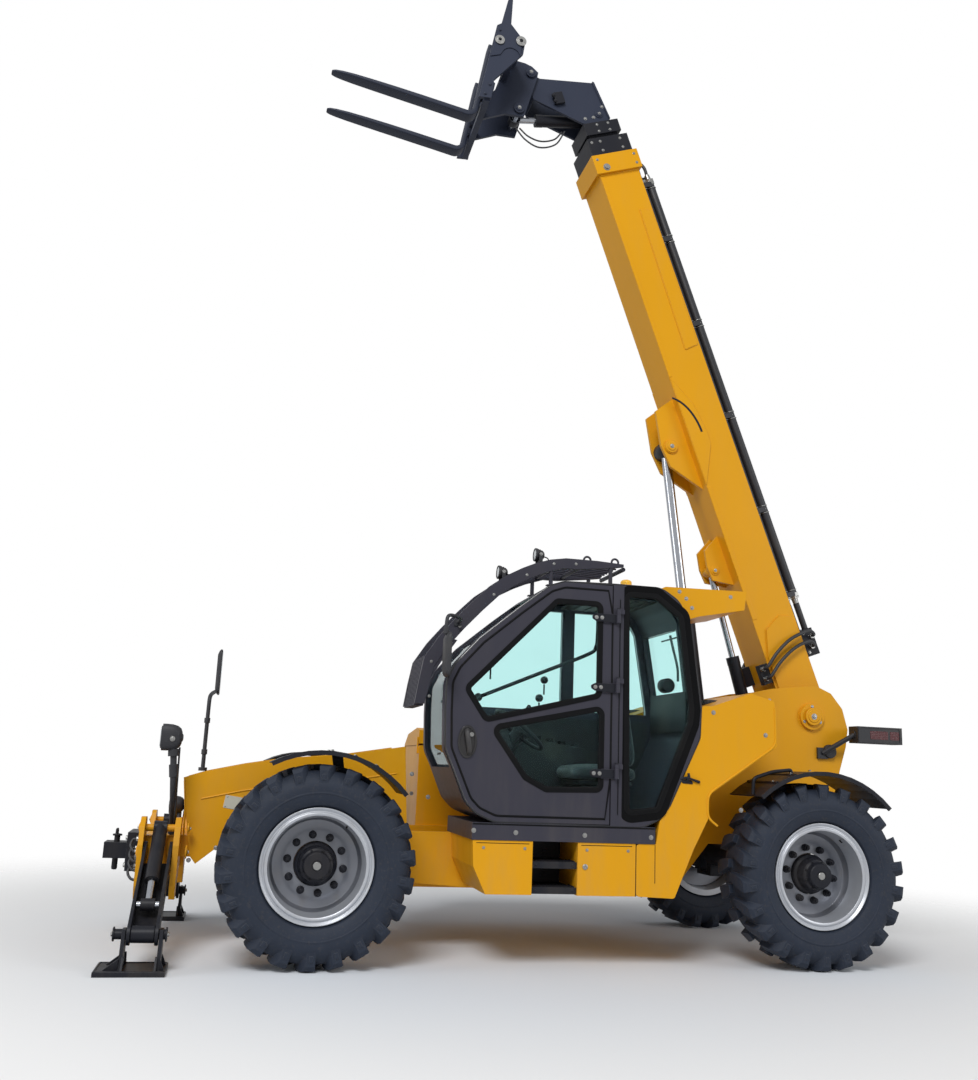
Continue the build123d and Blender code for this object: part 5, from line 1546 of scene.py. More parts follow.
class TELEHANDLER_OT_mirrors(Operator):
    """Both mirrors: rounded shells, glass, bent tubes and clamps"""
    bl_idname = "telehandler.mirrors"
    bl_label = "Mirrors"

    def execute(self, context):
        mirrors = Build()
        self.head(mirrors, 0.775, 0.745, (1.045, 1.192), (1.725, 1.998))
        self.head(mirrors, 2.176, 2.146, (-0.788, -0.622), (1.642, 1.978))
        mirrors.finish_index = 0
        near = smooth_path([(0.645, 0.842, 2.1), (0.648, 0.93, 2.104), (0.66, 1.0, 2.108), (0.7, 1.06, 2.112),
                            (0.752, 1.105, 2.108), (0.768, 1.118, 2.07), (0.768, 1.118, 1.985)], 6)
        mirrors.tube(near, 0.0115, 12)
        far = smooth_path([(2.2, -0.345, 1.088), (2.2, -0.347, 1.3), (2.199, -0.349, 1.52), (2.197, -0.365, 1.6),
                           (2.188, -0.45, 1.632), (2.174, -0.6, 1.655), (2.166, -0.7, 1.665)], 6)
        mirrors.tube(far, 0.0145, 12)
        mirrors.tube([(2.2, -0.345, 1.086), (2.2, -0.345, 1.11)], 0.03, 16)
        for z in (1.2, 1.42):
            mirrors.tube([(2.2, -0.3465, z), (2.2, -0.347, z + 0.035)], 0.021, 12)
        mirrors.box(0.625, 0.668, 0.838, 0.85, 2.08, 2.121)
        mirrors.tube([(0.768, 1.118, 1.99), (0.768, 1.118, 2.03)], 0.018, 12)
        mirrors.piece("mirrors_made", "chassis", ["trim", "mirror"], bevel=0.002,
                      stands_for="mirrors", angle=40)
        return {"FINISHED"}

    def head(self, mirrors, front, back, ys, zs):
        """Shell that bulges to the front, with the glass set in its rear face."""
        y0, y1 = ys
        z0, z1 = zs
        face = slab(y0, y1, z0, z1, 0.035, 6)
        mirrors.finish_index = 0
        rings = [[(back - 0.004, y, z) for y, z in scaled(face, 0.955)], [(back, y, z) for y, z in face],
                 [(back + 0.01, y, z) for y, z in face], [(front - 0.01, y, z) for y, z in scaled(face, 0.93)],
                 [(front, y, z) for y, z in scaled(face, 0.78)]]
        mirrors.loops(rings)
        mirrors.finish_index = 1
        mirrors.loops([[(back - 0.0035, y, z) for y, z in scaled(face, 0.9)],
                       [(back - 0.0055, y, z) for y, z in scaled(face, 0.885)]])


# ---------------------------------------------------------------- body
class TELEHANDLER_OT_body_parts(Operator):
    """Pivot caps, seams, caps, lamps and bolts of the body"""
    bl_idname = "telehandler.body_parts"
    bl_label = "Body fittings"

    def execute(self, context):
        self.pivot()
        self.seams()
        self.bolts()
        self.tail()
        self.bumps()
        return {"FINISHED"}

    def pivot(self):
        at = Matrix.Translation(spot("boom_lift"))
        pin_pair("boom_pivot_pin", "chassis", at, 0.0, 0.0, 0.4, 0.044, 0.012, ("body", "zinc"))
        ring = Build(at)
        for sign in BOTH:
            for k in range(3):
                a = radians(90 + 120 * k)
                ring.bolt((0.074 * cos(a), sign * 0.385, 0.074 * sin(a)), (0, sign, 0), 0.008, 0.006)
        ring.piece("boom_pivot_bolts", "chassis", "zinc")

    def seams(self):
        """Folds, plate edges and the gaps between the panels of the left side."""
        folds = Build()
        for y, line in ((FRAME_SIDE, ((2.283, 1.03), (2.262, 0.86), (2.257, 0.69))),
                        (FRAME_SIDE, ((-1.779, 1.7), (-1.783, 1.55), (-1.786, 1.415))),
                        (FRAME_SIDE, ((0.92, 1.125), (1.18, 1.08), (1.69, 1.018), (1.91, 0.98), (2.17, 0.92)))):
            for sign in BOTH:
                folds.tube([(x, sign * y, z) for x, z in line], 0.0055, 8)
        side = box_of("rear_body")[1].y
        crease = [(-1.49, 1.655), (-1.495, 1.405), (-1.01, 1.078), (-1.008, 0.93), (-1.075, 0.88)]
        folds.tube([(x, side - 0.001, z) for x, z in rounded_line(crease, 0.05)], 0.0075, 8)
        folds.piece("body_folds", "chassis", "body")
        gaps = Build()
        for x, z0, z1 in ((-0.649, 0.52, 0.752), (-0.522, 0.44, 0.752)):
            gaps.box(x - 0.002, x + 0.002, PANEL_SIDE - 0.002, PANEL_SIDE + 0.0008, z0, z1)
        for x0, x1 in ((0.152, 0.526), (-0.516, -0.142)):
            gaps.box(x0 + 0.02, x1 - 0.02, PANEL_SIDE - 0.002, PANEL_SIDE + 0.0008, 0.738, 0.742)
        gaps.piece("panel_gaps", "chassis", "rubber")

    def bolts(self):
        bolts = Build()
        for x, y, z in ((0.817, 0.36, 1.126), (0.7, 0.36, 0.98), (-1.808, 0.36, 1.752), (-1.239, 1.045, 0.984),
                        (-1.42, 1.045, 1.47), (-1.05, 1.045, 1.6), (2.212, 0.36, 0.542), (2.05, 0.36, 0.62),
                        (-2.3, 0.36, 1.2), (-2.27, 0.36, 1.02)):
            bolts.bolt((x, y, z), (0, 1, 0), 0.01, 0.007)
            if y < 1:
                bolts.bolt((x, -y, z), (0, -1, 0), 0.01, 0.007)
        for x in (0.46, 0.2, -0.2, -0.47):
            bolts.bolt((x, 1.045, 0.712), (0, 1, 0), 0.0065, 0.005)
        turned_at(bolts, (-0.189, 1.045, 0.611), (0, 1, 0),
                  [(0.017, 0.0), (0.017, 0.004), (0.014, 0.006), (0.006, 0.006), (0.006, 0.003), (0.0001, 0.003)], 24)
        bolts.piece("body_bolts", "chassis", "zinc")
        plate = Build()
        plate.side(rounded([(1.885, 0.85), (2.03, 0.87), (2.018, 0.95), (1.873, 0.93)], 0.008), 0.3595, 0.3625)
        plate.piece("bare_plate", "chassis", "plate", bevel=0.0008)
        rivets = Build()
        for x, z in ((1.896, 0.861), (2.016, 0.878), (2.006, 0.938), (1.885, 0.921)):
            turned_at(rivets, (x, 0.3622, z), (0, 1, 0),
                      [(0.005, 0), (0.0042, 0.0015), (0.002, 0.0025), (0.0001, 0.0028)], 12)
        rivets.piece("plate_rivets", "chassis", "zinc")

    def tail(self):
        """Lamp bars at the back with their lenses, hoods and round reflectors."""
        lamps = Build()
        lenses = Build()
        for sign in BOTH:
            y0, y1 = sorted((sign * 0.441, sign * 0.559))
            out = sign * 0.56
            shell = slab(-2.755, -2.404, 1.474, 1.586, 0.014)
            lamps.band(shell, scaled(shell, 0.9), *sorted((out - sign * 0.004, out + sign * 0.004)))
            lamps.cross(slab(y0, y1, 1.474, 1.586, 0.012), -2.7585, -2.75)
            lamps.tube([(-2.42, sign * 0.5, 1.53), (-2.4, sign * 0.497, 1.528)], 0.032, 16)
            lenses.finish_index = 0
            for x0, x1 in ((-2.735, -2.66), (-2.645, -2.5)):
                lenses.side(slab(x0, x1, 1.5, 1.56, 0.008),
                            *sorted((out - sign * 0.002, out + sign * 0.0015)))
            lenses.cross(slab(y0 + 0.012, y1 - 0.012, 1.486, 1.53, 0.01), -2.76, -2.755)
            lenses.finish_index = 1
            lenses.cross(slab(y0 + 0.012, y1 - 0.012, 1.534, 1.574, 0.01), -2.76, -2.755)
            turned_at(lamps, (-2.279, sign * 0.36, 1.404), (0, sign, 0),
                      [(0.05, -0.002), (0.05, 0.024), (0.046, 0.03), (0.03, 0.034), (0.0001, 0.035)], 32)
        lamps.piece("tail_shells", "chassis", "trim", bevel=0.0015)
        lenses.piece("tail_lenses", "chassis", ["red", "amber"], bevel=0.001)

    def bumps(self):
        """Filler caps with ribbed sides on top of the frame."""
        caps = Build()
        for place, r in (((1.3, 0.16, 1.075), 0.055), ((-1.17, 0.72, 1.672), 0.06), ((-1.17, -0.72, 1.665), 0.06)):
            turned_at(caps, place, (0, 0, 1), [(r * 1.15, -0.02), (r * 1.15, 0.004), (r, 0.008), (r, 0.02),
                                               (r * 0.92, 0.03),
                                               (r * 0.3, 0.034), (0.0001, 0.034)], 32)
            for k in range(10):
                a = 2 * pi * k / 10
                caps.tube([(place[0] + r * cos(a), place[1] + r * sin(a), place[2] + z) for z in (0.004, 0.024)],
                          0.006, 8)
        caps.piece("filler_caps", "chassis", "trim", bevel=0.001)


class TELEHANDLER_OT_hood_parts(Operator):
    """Slots drawn as dark sheets of painted shade, fins and handle of the engine hood, louvres, seams and locks of its
    bay
    """
    bl_idname = "telehandler.hood_parts"
    bl_label = "Hood fittings"

    def execute(self, context):
        skin = box_of("hood")[0].y
        slots = [x0 + 0.05 * k for x0 in (-0.8, 0.2) for k in range(7)]
        # painted shade: near-black sheets in the slots stand for the shadowed openings
        hood = Build()
        for x in slots:
            hood.box(x, x + 0.026, skin - 0.001, skin + 0.003, 1.19, 1.335)
        hood.piece("hood_slot_painted_shade", "hood", "rubber")
        fins = Build()
        for x in slots:
            fins.box(x - 0.006, x, skin - 0.004, skin + 0.003, 1.186, 1.339)
        for x in (-0.62, 0.38):
            fins.box(x - 0.035, x + 0.035, skin - 0.006, skin + 0.003, 1.16, 1.18)
        fins.piece("hood_fins", "hood", "body", bevel=0.0015)
        grip = Build()
        grip.tube(rounded_line([(-0.18, skin + 0.004, 1.215), (-0.18, skin - 0.036, 1.215),
                                (-0.02, skin - 0.036, 1.215),
                                (-0.02, skin + 0.004, 1.215)], 0.02), 0.008, 12)
        grip.piece("hood_handle", "hood", "dark")
        pod = box_of("engine_pod")[0]
        vents = Build()
        for x0 in (-0.72, 0.1):
            for k in range(9):
                z = 0.6 + 0.055 * k
                vents.loops([[(x, pod.y + 0.002 - d, z + h) for d, h in ((0.0, -0.018), (0.014, -0.016), (0.0, 0.02))]
                             for x in (x0, x0 + 0.42)])
        vents.piece("bay_louvres", "chassis", "body", bevel=0.001)
        seams = Build()
        for x in (-0.8, -0.22, 0.02, 0.6):
            seams.box(x - 0.002, x + 0.002, pod.y - 0.0008, pod.y + 0.002, 0.53, 1.14)
        for z in (0.53, 1.14):
            seams.box(-0.8, 0.6, pod.y - 0.0008, pod.y + 0.002, z - 0.002, z + 0.002)
        seams.piece("bay_seams", "chassis", "rubber")
        locks = Build()
        for x in (-0.26, 0.06):
            for z in (0.62, 1.04):
                turned_at(locks, (x, pod.y, z), (0, -1, 0),
                          [(0.015, 0), (0.015, 0.004), (0.012, 0.006), (0.0001, 0.006)], 20)
        for x in (pod.x + 0.03, box_of("engine_pod")[1].x - 0.03):
            for z in (0.56, 0.85, 1.12):
                locks.bolt((x, pod.y, z), (0, -1, 0), 0.009, 0.006)
        locks.piece("bay_locks", "chassis", "zinc")
        return {"FINISHED"}


# ---------------------------------------------------------------- step, sill and boxes
class TELEHANDLER_OT_step_parts(Operator):
    """Toothed treads of the step"""
    bl_idname = "telehandler.step_parts"
    bl_label = "Step"

    def execute(self, context):
        low, high = box_of("step_left")
        step = Build()
        for z in (0.48, 0.63):
            for k in range(13):
                x = low.x + 0.012 + k * (high.x - low.x - 0.024) / 12
                step.loops([[(x - 0.007, y, z), (x + 0.007, y, z), (x, y, z + 0.013)] for y in (high.y - 0.13,
                                                                                                high.y - 0.004)])
            step.box(low.x, high.x, high.y - 0.002, high.y + 0.006, z - 0.034, z + 0.006)
            for x in (low.x + 0.025, high.x - 0.025):
                step.bolt((x, high.y + 0.006, z - 0.014), (0, 1, 0), 0.007, 0.005)
        for k in range(9):
            z = 0.515 + 0.02 * k
            step.box(low.x + 0.085, low.x + 0.125, 0.655, 0.672, z, z + 0.008)
        step.piece("step_treads", "chassis", "dark", bevel=0.0012)
        return {"FINISHED"}


# ---------------------------------------------------------------- front
class TELEHANDLER_OT_front_parts(Operator):
    """Lenses of the front lamps, couplings, hitch pin and hoses on the front beam"""
    bl_idname = "telehandler.front_parts"
    bl_label = "Front fittings"

    def execute(self, context):
        self.lamps()
        self.couplings()
        self.hitch()
        return {"FINISHED"}

    def lamps(self):
        lamps = Build()
        face = slab(0.552, 0.648, 1.226, 1.362, 0.025, 6)
        lamps.cross([(y, z) for y, z in face], 2.4285, 2.436)
        lamps.finish_index = 1
        lamps.cross([(y, z) for y, z in scaled(face, 0.86)], 2.435, 2.44)
        lamps.finish_index = 0
        ring = [(0.063, -0.004), (0.063, 0.006), (0.058, 0.01), (0.053, 0.01), (0.051, 0.004), (0.0001, 0.004)]
        turned_at(lamps, (2.39, -0.33, 0.85), (1, 0, 0), ring, 40)
        turned_at(lamps, (2.3, -0.33, 0.85), (-1, 0, 0), [(0.055, 0), (0.05, 0.012), (0.03, 0.022), (0.0001, 0.024)],
                  40)
        turned_at(lamps, (2.312, 0.6, 1.295), (-1, 0, 0),
                  [(0.026, -0.004), (0.024, 0.004), (0.014, 0.008), (0.0001, 0.009)], 24)
        lamps.finish_index = 1
        turned_at(lamps, (2.394, -0.33, 0.85), (1, 0, 0),
                  [(0.052, 0.0), (0.044, 0.006), (0.022, 0.01), (0.0001, 0.011)], 40)
        lamps.finish_index = 2
        for y in (0.545, 0.655):
            lamps.bolt((2.365, y, 1.285), (0, 1 if y > 0.6 else -1, 0), 0.011, 0.008)
        lamps.piece("front_lenses", "chassis", ["trim", "clear", "zinc"], bevel=0.001, angle=30)
        cable = Build()
        cable.tube(smooth_path([(2.32, 0.6, 1.235), (2.318, 0.588, 1.12), (2.316, 0.556, 0.98), (2.315, 0.5, 0.862),
                                (2.318, 0.4, 0.765), (2.32, 0.32, 0.715)], 6), 0.006, 8)
        cable.piece("front_cable", "chassis", "hose")

    def couplings(self):
        """Quick couplings and hoses on the beam's front face."""
        front = 2.5
        fittings = Build()
        hoses = Build()
        for k in range(4):
            z = 0.655 - 0.055 * k
            for sign in BOTH:
                y = sign * (0.245 + 0.012 * (k % 2))
                turned_at(fittings, (front - 0.001, y, z), (1, 0, 0),
                          [(0.021, 0.0), (0.021, 0.01), (0.014, 0.012), (0.014, 0.03), (0.018, 0.032), (0.018, 0.05),
                           (0.01, 0.053), (0.0001, 0.053)], 20)
                hoses.tube(smooth_path([(front + 0.05, y, z), (front + 0.07, y, z - 0.006),
                                        (front + 0.078, y + sign * 0.02, z - 0.04),
                                        (front + 0.05, y + sign * 0.045, z - 0.075),
                                        (front - 0.002, y + sign * 0.055, z - 0.08)], 6), 0.0085, 10)
        fittings.piece("front_couplings", "chassis", "zinc", bevel=0.0008)
        hoses.piece("front_hoses", "chassis", "hose")

    def hitch(self):
        hitch = Build()
        for y, z in ((-0.145, 0.485), (0.145, 0.485), (-0.145, 0.655), (0.145, 0.655)):
            hitch.finish_index = 1
            hitch.bolt((2.61, y, z), (1, 0, 0), 0.015, 0.012)
        hitch.finish_index = 0
        hitch.box(2.606, 2.618, -0.12, 0.12, 0.495, 0.645)
        turned_at(hitch, (2.69, 0.0, 0.44), (0, 0, 1),
                  [(0.0001, 0.0), (0.016, 0.004), (0.0185, 0.012), (0.0185, 0.215), (0.03, 0.216), (0.03, 0.226),
                   (0.012, 0.23), (0.0001, 0.23)], 24)
        hitch.tube(rounded_line([(2.69, -0.0, 0.662), (2.69, 0.0, 0.7), (2.69, 0.075, 0.7), (2.69, 0.075, 0.672)],
                                0.02),
                   0.007, 10)
        hitch.piece("hitch_parts", "chassis", ["dark", "zinc"], bevel=0.0015)


class TELEHANDLER_OT_leg_parts(Operator):
    """Pins and sleeves of the stabilisers, ribs and rims of their feet"""
    bl_idname = "telehandler.leg_parts"
    bl_label = "Stabiliser fittings"

    def execute(self, context):
        for side, sign in SIDES:
            self.frame_pins(side, sign)
            self.foot(side, sign)
        return {"FINISHED"}

    def frame_pins(self, side, sign):
        pins = Build()
        for y, z, r in ((0.47, 0.6, 0.028), (0.44, 0.74, 0.022)):
            for x, out in ((2.514, 1), (2.2702 - 0.04, -1)):
                pins.finish_index = 0
                pin_end(pins, (x, sign * y, z), (out, 0, 0), r, 0.012)
                pins.finish_index = 1
                pins.bolt((x + out * 0.012, sign * y, z), (out, 0, 0), r * 0.36, 0.007)
        pins.piece(f"leg_frame_pins_{side}", "chassis", ["body", "zinc"])

    def foot(self, side, sign):
        low, high = box_of(f"stab_foot_{side}")
        y, z = sign * (abs(low.y) + abs(high.y)) / 2, 0.2
        foot = Build()
        for x, out in ((2.27, -1), (2.55, 1)):
            foot.finish_index = 0
            pin_end(foot, (x, y, z), (out, 0, 0), 0.027, 0.006)
            foot.finish_index = 1
            foot.bolt((x + out * 0.006, y, z), (out, 0, 0), 0.012, 0.01)
        foot.finish_index = 0
        for shift in (-0.085, 0.085):
            for x, reach in ((2.505, 0.08), (2.285, -0.027)):
                foot.side([(x, 0.024), (x + reach, 0.024), (x, 0.085)], y + shift - 0.006, y + shift + 0.006)
            for x in (2.3, 2.478):
                foot.cross([(y + shift, 0.024), (y + shift * 1.62, 0.024), (y + shift, 0.095)], x, x + 0.012)
        ring = slab(2.258, high.x - 0.008, low.y + 0.008, high.y - 0.008, 0.01, 3)
        foot.tube([(x, yy, 0.024) for x, yy in ring], 0.006, 8, closed=True)
        foot.piece(f"foot_parts_{side}", f"stab_foot_{side}", ["dark", "zinc"], bevel=0.0015)
        sleeve = Build()
        turned_at(sleeve, (2.3295, y, z), (1, 0, 0), [(0.0285, 0.0), (0.044, 0.0), (0.047, 0.004), (0.047, 0.127),
                                                      (0.044, 0.131),
                                                      (0.0285, 0.131)], 40)
        sleeve.piece(f"foot_sleeve_{side}", f"stab_leg_{side}", "dark", bevel=0.001)


# ---------------------------------------------------------------- eyes of the rods and mudguard brackets
class TELEHANDLER_OT_rod_eyes(Operator):
    """Painted eyes at the ends of the cylinder rods"""
    bl_idname = "telehandler.rod_eyes"
    bl_label = "Rod eyes"

    def execute(self, context):
        for name, body, at, x, z, radius, half in (("lift", "lift_rod", BOOM, 2.272, -0.244, 0.0718, 0.079),
                                                   ("comp", "comp_rod", BOOM, 1.25, -0.214, 0.0465, 0.053),
                                                   ("tilt", "tilt_rod", HEAD, 0.03, -0.35, 0.0475, 0.0402)):
            eye = Build(at @ Matrix.Translation((x, 0, z)))
            eye.turned([(radius - 0.006, half), (radius - 0.002, half), (radius, half - 0.004),
                        (radius, 0.004 - half),
                        (radius - 0.002, -half), (radius - 0.006, -half)], 48, closed=True)
            eye.piece(f"{name}_rod_eye", body, "body" if name == "comp" else "dark", slot="black_paint")
        for side, sign in SIDES:
            low, high = box_of(f"stab_rod_{side}")
            outer = sign * max(abs(low.y), abs(high.y))
            eye = Build()
            turned_at(eye, (2.355, outer - sign * 0.034, low.z + 0.034), (1, 0, 0),
                      [(0.028, -0.0002), (0.034, -0.0002), (0.0356, 0.002), (0.0356, 0.078), (0.034, 0.0802),
                       (0.028, 0.0802)], 40)
            eye.piece(f"leg_rod_eye_{side}", f"stab_rod_{side}", "dark")
        return {"FINISHED"}


class TELEHANDLER_OT_mudguard_parts(Operator):
    """Tubes and bolts that carry the mudguards, with a bent tube at the rear ones"""
    bl_idname = "telehandler.mudguard_parts"
    bl_label = "Mudguard fittings"

    def execute(self, context):
        for end, sign_x in (("front", -1), ("rear", 1)):
            for side, sign in SIDES:
                hub = spot(f"roll_{end}_{side}")
                parts = Build(Matrix.Translation((hub.x, 0, hub.z)) @ Matrix.Diagonal((sign_x, sign, 1, 1)))
                reach = 0.672
                for a in (62, 74, 86):
                    parts.finish_index = 0
                    x, z = reach * cos(radians(a)), reach * sin(radians(a))
                    if a < 80:
                        parts.tube([(x, 0.665, z - 0.012), (x, 1.085, z - 0.012)], 0.011, 10)
                    parts.finish_index = 1
                    for y in (0.74, 1.02):
                        parts.bolt((x, y, z - 0.005), (cos(radians(a)), 0, sin(radians(a))), 0.009, 0.007)
                if end == "rear":
                    parts.finish_index = 0
                    parts.tube(rounded_line([(0.445, 0.99, 0.5), (0.44, 0.99, 0.605), (0.3, 0.99, 0.652),
                                             (0.17, 0.99, 0.668), (0.165, 0.99, 0.645)], 0.03), 0.012, 12)
                parts.piece(f"mudguard_parts_{end}_{side}", f"knuckle_{end}_{side}", ["dark", "zinc"], angle=40)
        return {"FINISHED"}


class TELEHANDLER_OT_guard(Operator):
    """Guard over the windscreen and the roof: plate rails, cross bars, rods and the slatted visor"""
    bl_idname = "telehandler.guard"
    bl_label = "Roof guard"

    LINE = ((0.9, 1.57), (0.878, 1.72), (0.85, 1.87), (0.76, 2.01), (0.66, 2.13), (0.545, 2.255), (0.44, 2.36),
            (0.33, 2.44), (0.22, 2.5), (0.13, 2.54), (0.03, 2.572), (-0.08, 2.59), (-0.3, 2.59), (-0.49, 2.58))

    def execute(self, context):
        low, high = box_of("roof_guard")
        guard = Build()
        rail = list(self.LINE)
        inner = [(x - 0.062, z - 0.062) for x, z in rail[1:-4]] + [(-0.06, 2.52), (-0.16, 2.52), (-0.38, 2.545),
                                                                   (-0.49, 2.562)]
        for y0, y1 in ((low.y, low.y + 0.03), (high.y - 0.03, high.y)):
            guard.side(rail + [(-0.49, 2.562)] + inner[::-1][1:] + [(0.838, 1.57)], y0, y1)
            guard.side([(0.872, 1.74), (0.85, 1.87), (0.76, 2.01), (0.64, 1.99), (0.735, 1.85), (0.8, 1.74)],
                       *((y0 + 0.004, y0 + 0.012) if y0 == low.y else (y1 - 0.012, y1 - 0.004)))
        for x, z in ((0.835, 1.88), (0.66, 2.105), (0.44, 2.33), (0.22, 2.47), (0.03, 2.545), (-0.16, 2.56),
                     (-0.46, 2.562)):
            guard.tube([(x - 0.035, low.y + 0.02, z - 0.014), (x - 0.035, high.y - 0.02, z - 0.014)], 0.015, 12)
        bars = 8
        for k in range(bars):
            y = low.y + 0.06 + (high.y - low.y - 0.12) * k / (bars - 1)
            guard.side([(0.898, 1.56), (0.848, 1.88), (0.808, 1.88), (0.836, 1.56)], y - 0.011, y + 0.011)
        guard.box(0.822, 0.842, low.y + 0.01, high.y - 0.01, 1.7, 1.712)
        for y in (low.y + 0.015, high.y - 0.015):
            for x, z in ((-0.4, 2.548), (0.02, 2.53)):
                guard.tube([(x, y, box_of("cab_frame")[1].z - 0.004), (x, y, z)], 0.014, 12)
                guard.box(x - 0.03, x + 0.03, y - 0.022, y + 0.022, 2.394, 2.402)
        for k in range(7):
            y = low.y + 0.075 + 0.06 * k
            guard.tube([(-0.46, y, 2.556), (-0.1, y, 2.566), (0.02, y, 2.541), (0.22, y, 2.464), (0.405, y, 2.322)],
                       0.0065, 8)
        for x in (-0.232, -0.43):
            guard.tube([(x + 0.024 * cos(a), high.y - 0.012, 2.59 + 0.024 * sin(a)) for a in
                        [2 * pi * k / 24 for k in range(24)]], 0.0075, 8, closed=True)
        guard.finish_index = 1
        for y, out in ((high.y, 1), (low.y, -1)):
            for x, z in ((0.805, 1.84), (0.63, 2.08), (0.41, 2.305), (0.19, 2.455), (0.005, 2.545), (-0.15, 2.556),
                         (0.808, 1.62)):
                guard.bolt((x, y, z), (0, out, 0), 0.0065, 0.005)
        guard.piece("guard_made", "chassis", ["cab", "zinc"], slot="black_paint", bevel=0.0015,
                    stands_for="roof_guard",
                    angle=30)
        return {"FINISHED"}


class TELEHANDLER_OT_front_lamps(Operator):
    """Front lamps in rounded shells on cast arms"""
    bl_idname = "telehandler.front_lamps"
    bl_label = "Front lamps"

    def execute(self, context):
        lamps = Build()
        foot = [(2.314, 0.28), (2.346, 0.28), (2.346, 0.336), (2.314, 0.336)]
        for sign in BOTH:
            lamps.loops([[(x, sign * y, z) for x, y in rounded(foot, 0.006, 2)] for z in (0.69, 0.704)])
        path = smooth_path([(2.33, 0.308, 0.7), (2.33, 0.33, 0.76), (2.332, 0.43, 0.85), (2.334, 0.53, 0.925),
                            (2.338, 0.585, 1.01), (2.345, 0.597, 1.1), (2.355, 0.6, 1.215)], 5)
        lamps.tube(path, [0.03 - 0.01 * min(1, k / 12) for k in range(len(path))], 16)
        lamps.tube([(2.34, 0.592, 1.055), (2.348, 0.598, 1.13)], 0.027, 20)
        lamps.tube([(2.353, 0.6, 1.18), (2.356, 0.6, 1.224)], 0.033, 20)
        rows = []
        for x, wide, tall, drop in ((2.312, 0.024, 0.036, 0.0), (2.32, 0.038, 0.056, 0.0), (2.34, 0.048, 0.072, 0.0),
                                    (2.37, 0.053, 0.08, 0.0), (2.405, 0.055, 0.082, 0.0), (2.43, 0.056, 0.082, 0.0)):
            rows.append([(x, 0.6 + wide * (abs(cos(a)) ** 0.6) * (1 if cos(a) > 0 else -1),
                          1.294 + drop + tall * (abs(sin(a)) ** 0.6) * (1 if sin(a) > 0 else -1))
                         for a in [2 * pi * (k + 0.5) / 40 for k in range(40)]])
        lamps.loops(rows)
        lamps.tube([(2.33, -0.308, 0.703), (2.33, -0.322, 0.76), (2.33, -0.33, 0.8)], 0.017, 16)
        turned_at(lamps, (2.3, -0.33, 0.85), (1, 0, 0),
                  [(0.0001, 0.0), (0.03, 0.002), (0.046, 0.012), (0.056, 0.03), (0.06, 0.055), (0.062, 0.072),
                   (0.062, 0.09), (0.0001, 0.09)], 40)
        lamps.piece("front_lamps", "chassis", "trim", bevel=0.001, stands_for="headlamps", angle=35)
        return {"FINISHED"}


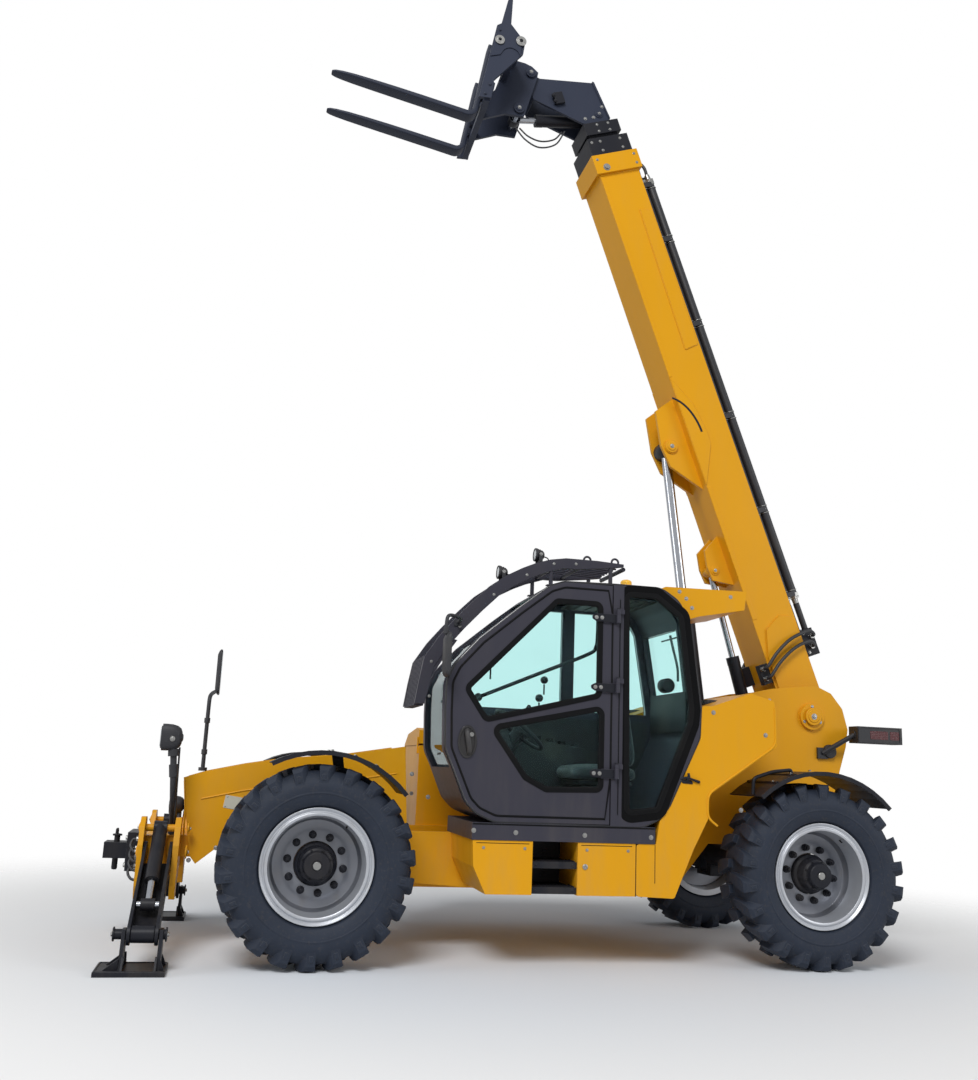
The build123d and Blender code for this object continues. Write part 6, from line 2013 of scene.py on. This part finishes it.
# ---------------------------------------------------------------- stage
class TELEHANDLER_OT_stage(Operator):
    """Pale floor, soft light all round, one large lamp and the camera"""
    bl_idname = "telehandler.stage"
    bl_label = "Stage"

    def execute(self, context):
        scene = context.scene
        stage = scene.telehandler_stage
        scene.view_settings.view_transform = "Standard"
        self.camera(scene, stage)
        self.floor(stage)
        self.lamp("key", (6.3, 12.5, 13.6), (0.0, 0.0, 2.6), 7.5, stage.key)
        self.lamp("fill", (-9.5, 7.5, 5.0), (0.0, 0.0, 2.6), 6.0, stage.key * 0.15)
        self.lamp("front", (11.5, 2.0, 3.5), (0.0, 0.0, 2.2), 5.0, stage.key * 0.1)
        self.sky(scene, stage)
        return {"FINISHED"}

    def camera(self, scene, stage):
        """Stands close on the left, low, and looks up at the boom."""
        eye = bpy.data.cameras.new("camera")
        eye.lens = stage.lens
        eye.sensor_width = 36.0
        eye.clip_end = 200.0
        thing = bpy.data.objects.new("camera", eye)
        right = Vector((-0.9737, 0.2242, 0.0399)).normalized()
        up = Vector((0.0851, 0.1956, 0.977))
        up = (up - right * up.dot(right)).normalized()
        turn = Matrix((right, up, right.cross(up))).transposed().to_4x4()
        thing.matrix_world = Matrix.Translation((1.95, 7.578, 1.19)) @ turn
        scene.collection.objects.link(thing)
        scene.camera = thing

    def floor(self, stage):
        ring = [(x, y, 0.0) for x, y in disc_line(0.0, 0.0, stage.floor, steps=64)]
        disc = bpy.data.meshes.new("floor")
        disc.from_pydata(ring, [], [list(range(64))])
        disc.materials.append(floor_look("floor", (0.97, 0.97, 0.97), stage.floor * 0.16, stage.floor * 0.46))
        floor = bpy.data.objects.new("floor", disc)
        floor.location = (0, 0, -0.001)
        bpy.context.scene.collection.objects.link(floor)
        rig.stage(floor)

    def lamp(self, name, place, target, size, power):
        light = bpy.data.lights.new(name, "AREA")
        light.shape = "DISK"
        light.size = size
        light.energy = power
        thing = bpy.data.objects.new(name, light)
        thing.location = place
        thing.rotation_euler = (Vector(target) - Vector(place)).to_track_quat("-Z", "Y").to_euler()
        bpy.context.scene.collection.objects.link(thing)

    def sky(self, scene, stage):
        """White where it is looked at or mirrored, soft grey as a light."""
        world = bpy.data.worlds.new("sky")
        sky = Nodes(world)

        def ray(kind):
            return sky.node("ShaderNodeLightPath", {}, {}, f"Is {kind} Ray")

        seen = sky.node("ShaderNodeMath", {"operation": "MAXIMUM"},
                        {0: ray("Camera") + ray("Transmission"), 1: ray("Glossy") * 0.5})
        soft = sky.node("ShaderNodeBackground", {}, {"Color": (0.94, 0.97, 1.0), "Strength": stage.sky})
        white = sky.node("ShaderNodeBackground", {}, {"Color": (1.0, 1.0, 1.0)})
        blend = sky.node("ShaderNodeMixShader", {}, {0: seen, 1: soft, 2: white})
        sky.node("ShaderNodeOutputWorld", {}, {0: blend})
        scene.world = world


# ---------------------------------------------------------------- panel and start
OPERATORS = [item for item in list(globals().values())
             if isinstance(item, type) and issubclass(item, Operator) and item is not Operator]
GROUPS = {"telehandler_paints": TelehandlerPaints, "telehandler_sizes": TelehandlerSizes,
          "telehandler_stage": TelehandlerStage}


class TELEHANDLER_PT_dressing(Panel):
    """Lists the settings and every group of pieces"""
    bl_idname = "TELEHANDLER_PT_dressing"
    bl_label = "Telehandler"
    bl_space_type = "VIEW_3D"
    bl_region_type = "UI"
    bl_category = "Telehandler"

    def draw(self, context):
        for group in GROUPS:
            box = self.layout.box()
            settings = getattr(context.scene, group)
            for name in settings.__annotations__:
                box.prop(settings, name)
        for operator in OPERATORS:
            self.layout.operator(operator.bl_idname)


def register():
    for item in (*GROUPS.values(), *OPERATORS, TELEHANDLER_PT_dressing):
        bpy.utils.register_class(item)
    for name, group in GROUPS.items():
        setattr(bpy.types.Scene, name, PointerProperty(type=group))


def unregister():
    for name in GROUPS:
        delattr(bpy.types.Scene, name)
    for item in (TELEHANDLER_PT_dressing, *reversed(OPERATORS), *GROUPS.values()):
        bpy.utils.unregister_class(item)


def main():
    register()
    for operator in OPERATORS:
        group, name = operator.bl_idname.split(".")
        getattr(getattr(bpy.ops, group), name)()
    sizes_out = {"cad": [list(corner) for corner in CAD_BOX], "visual": [list(corner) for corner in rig.bounds()]}
    with open("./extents.json", "w") as file:
        json.dump(sizes_out, file)


if __name__ == "__main__":
    main()
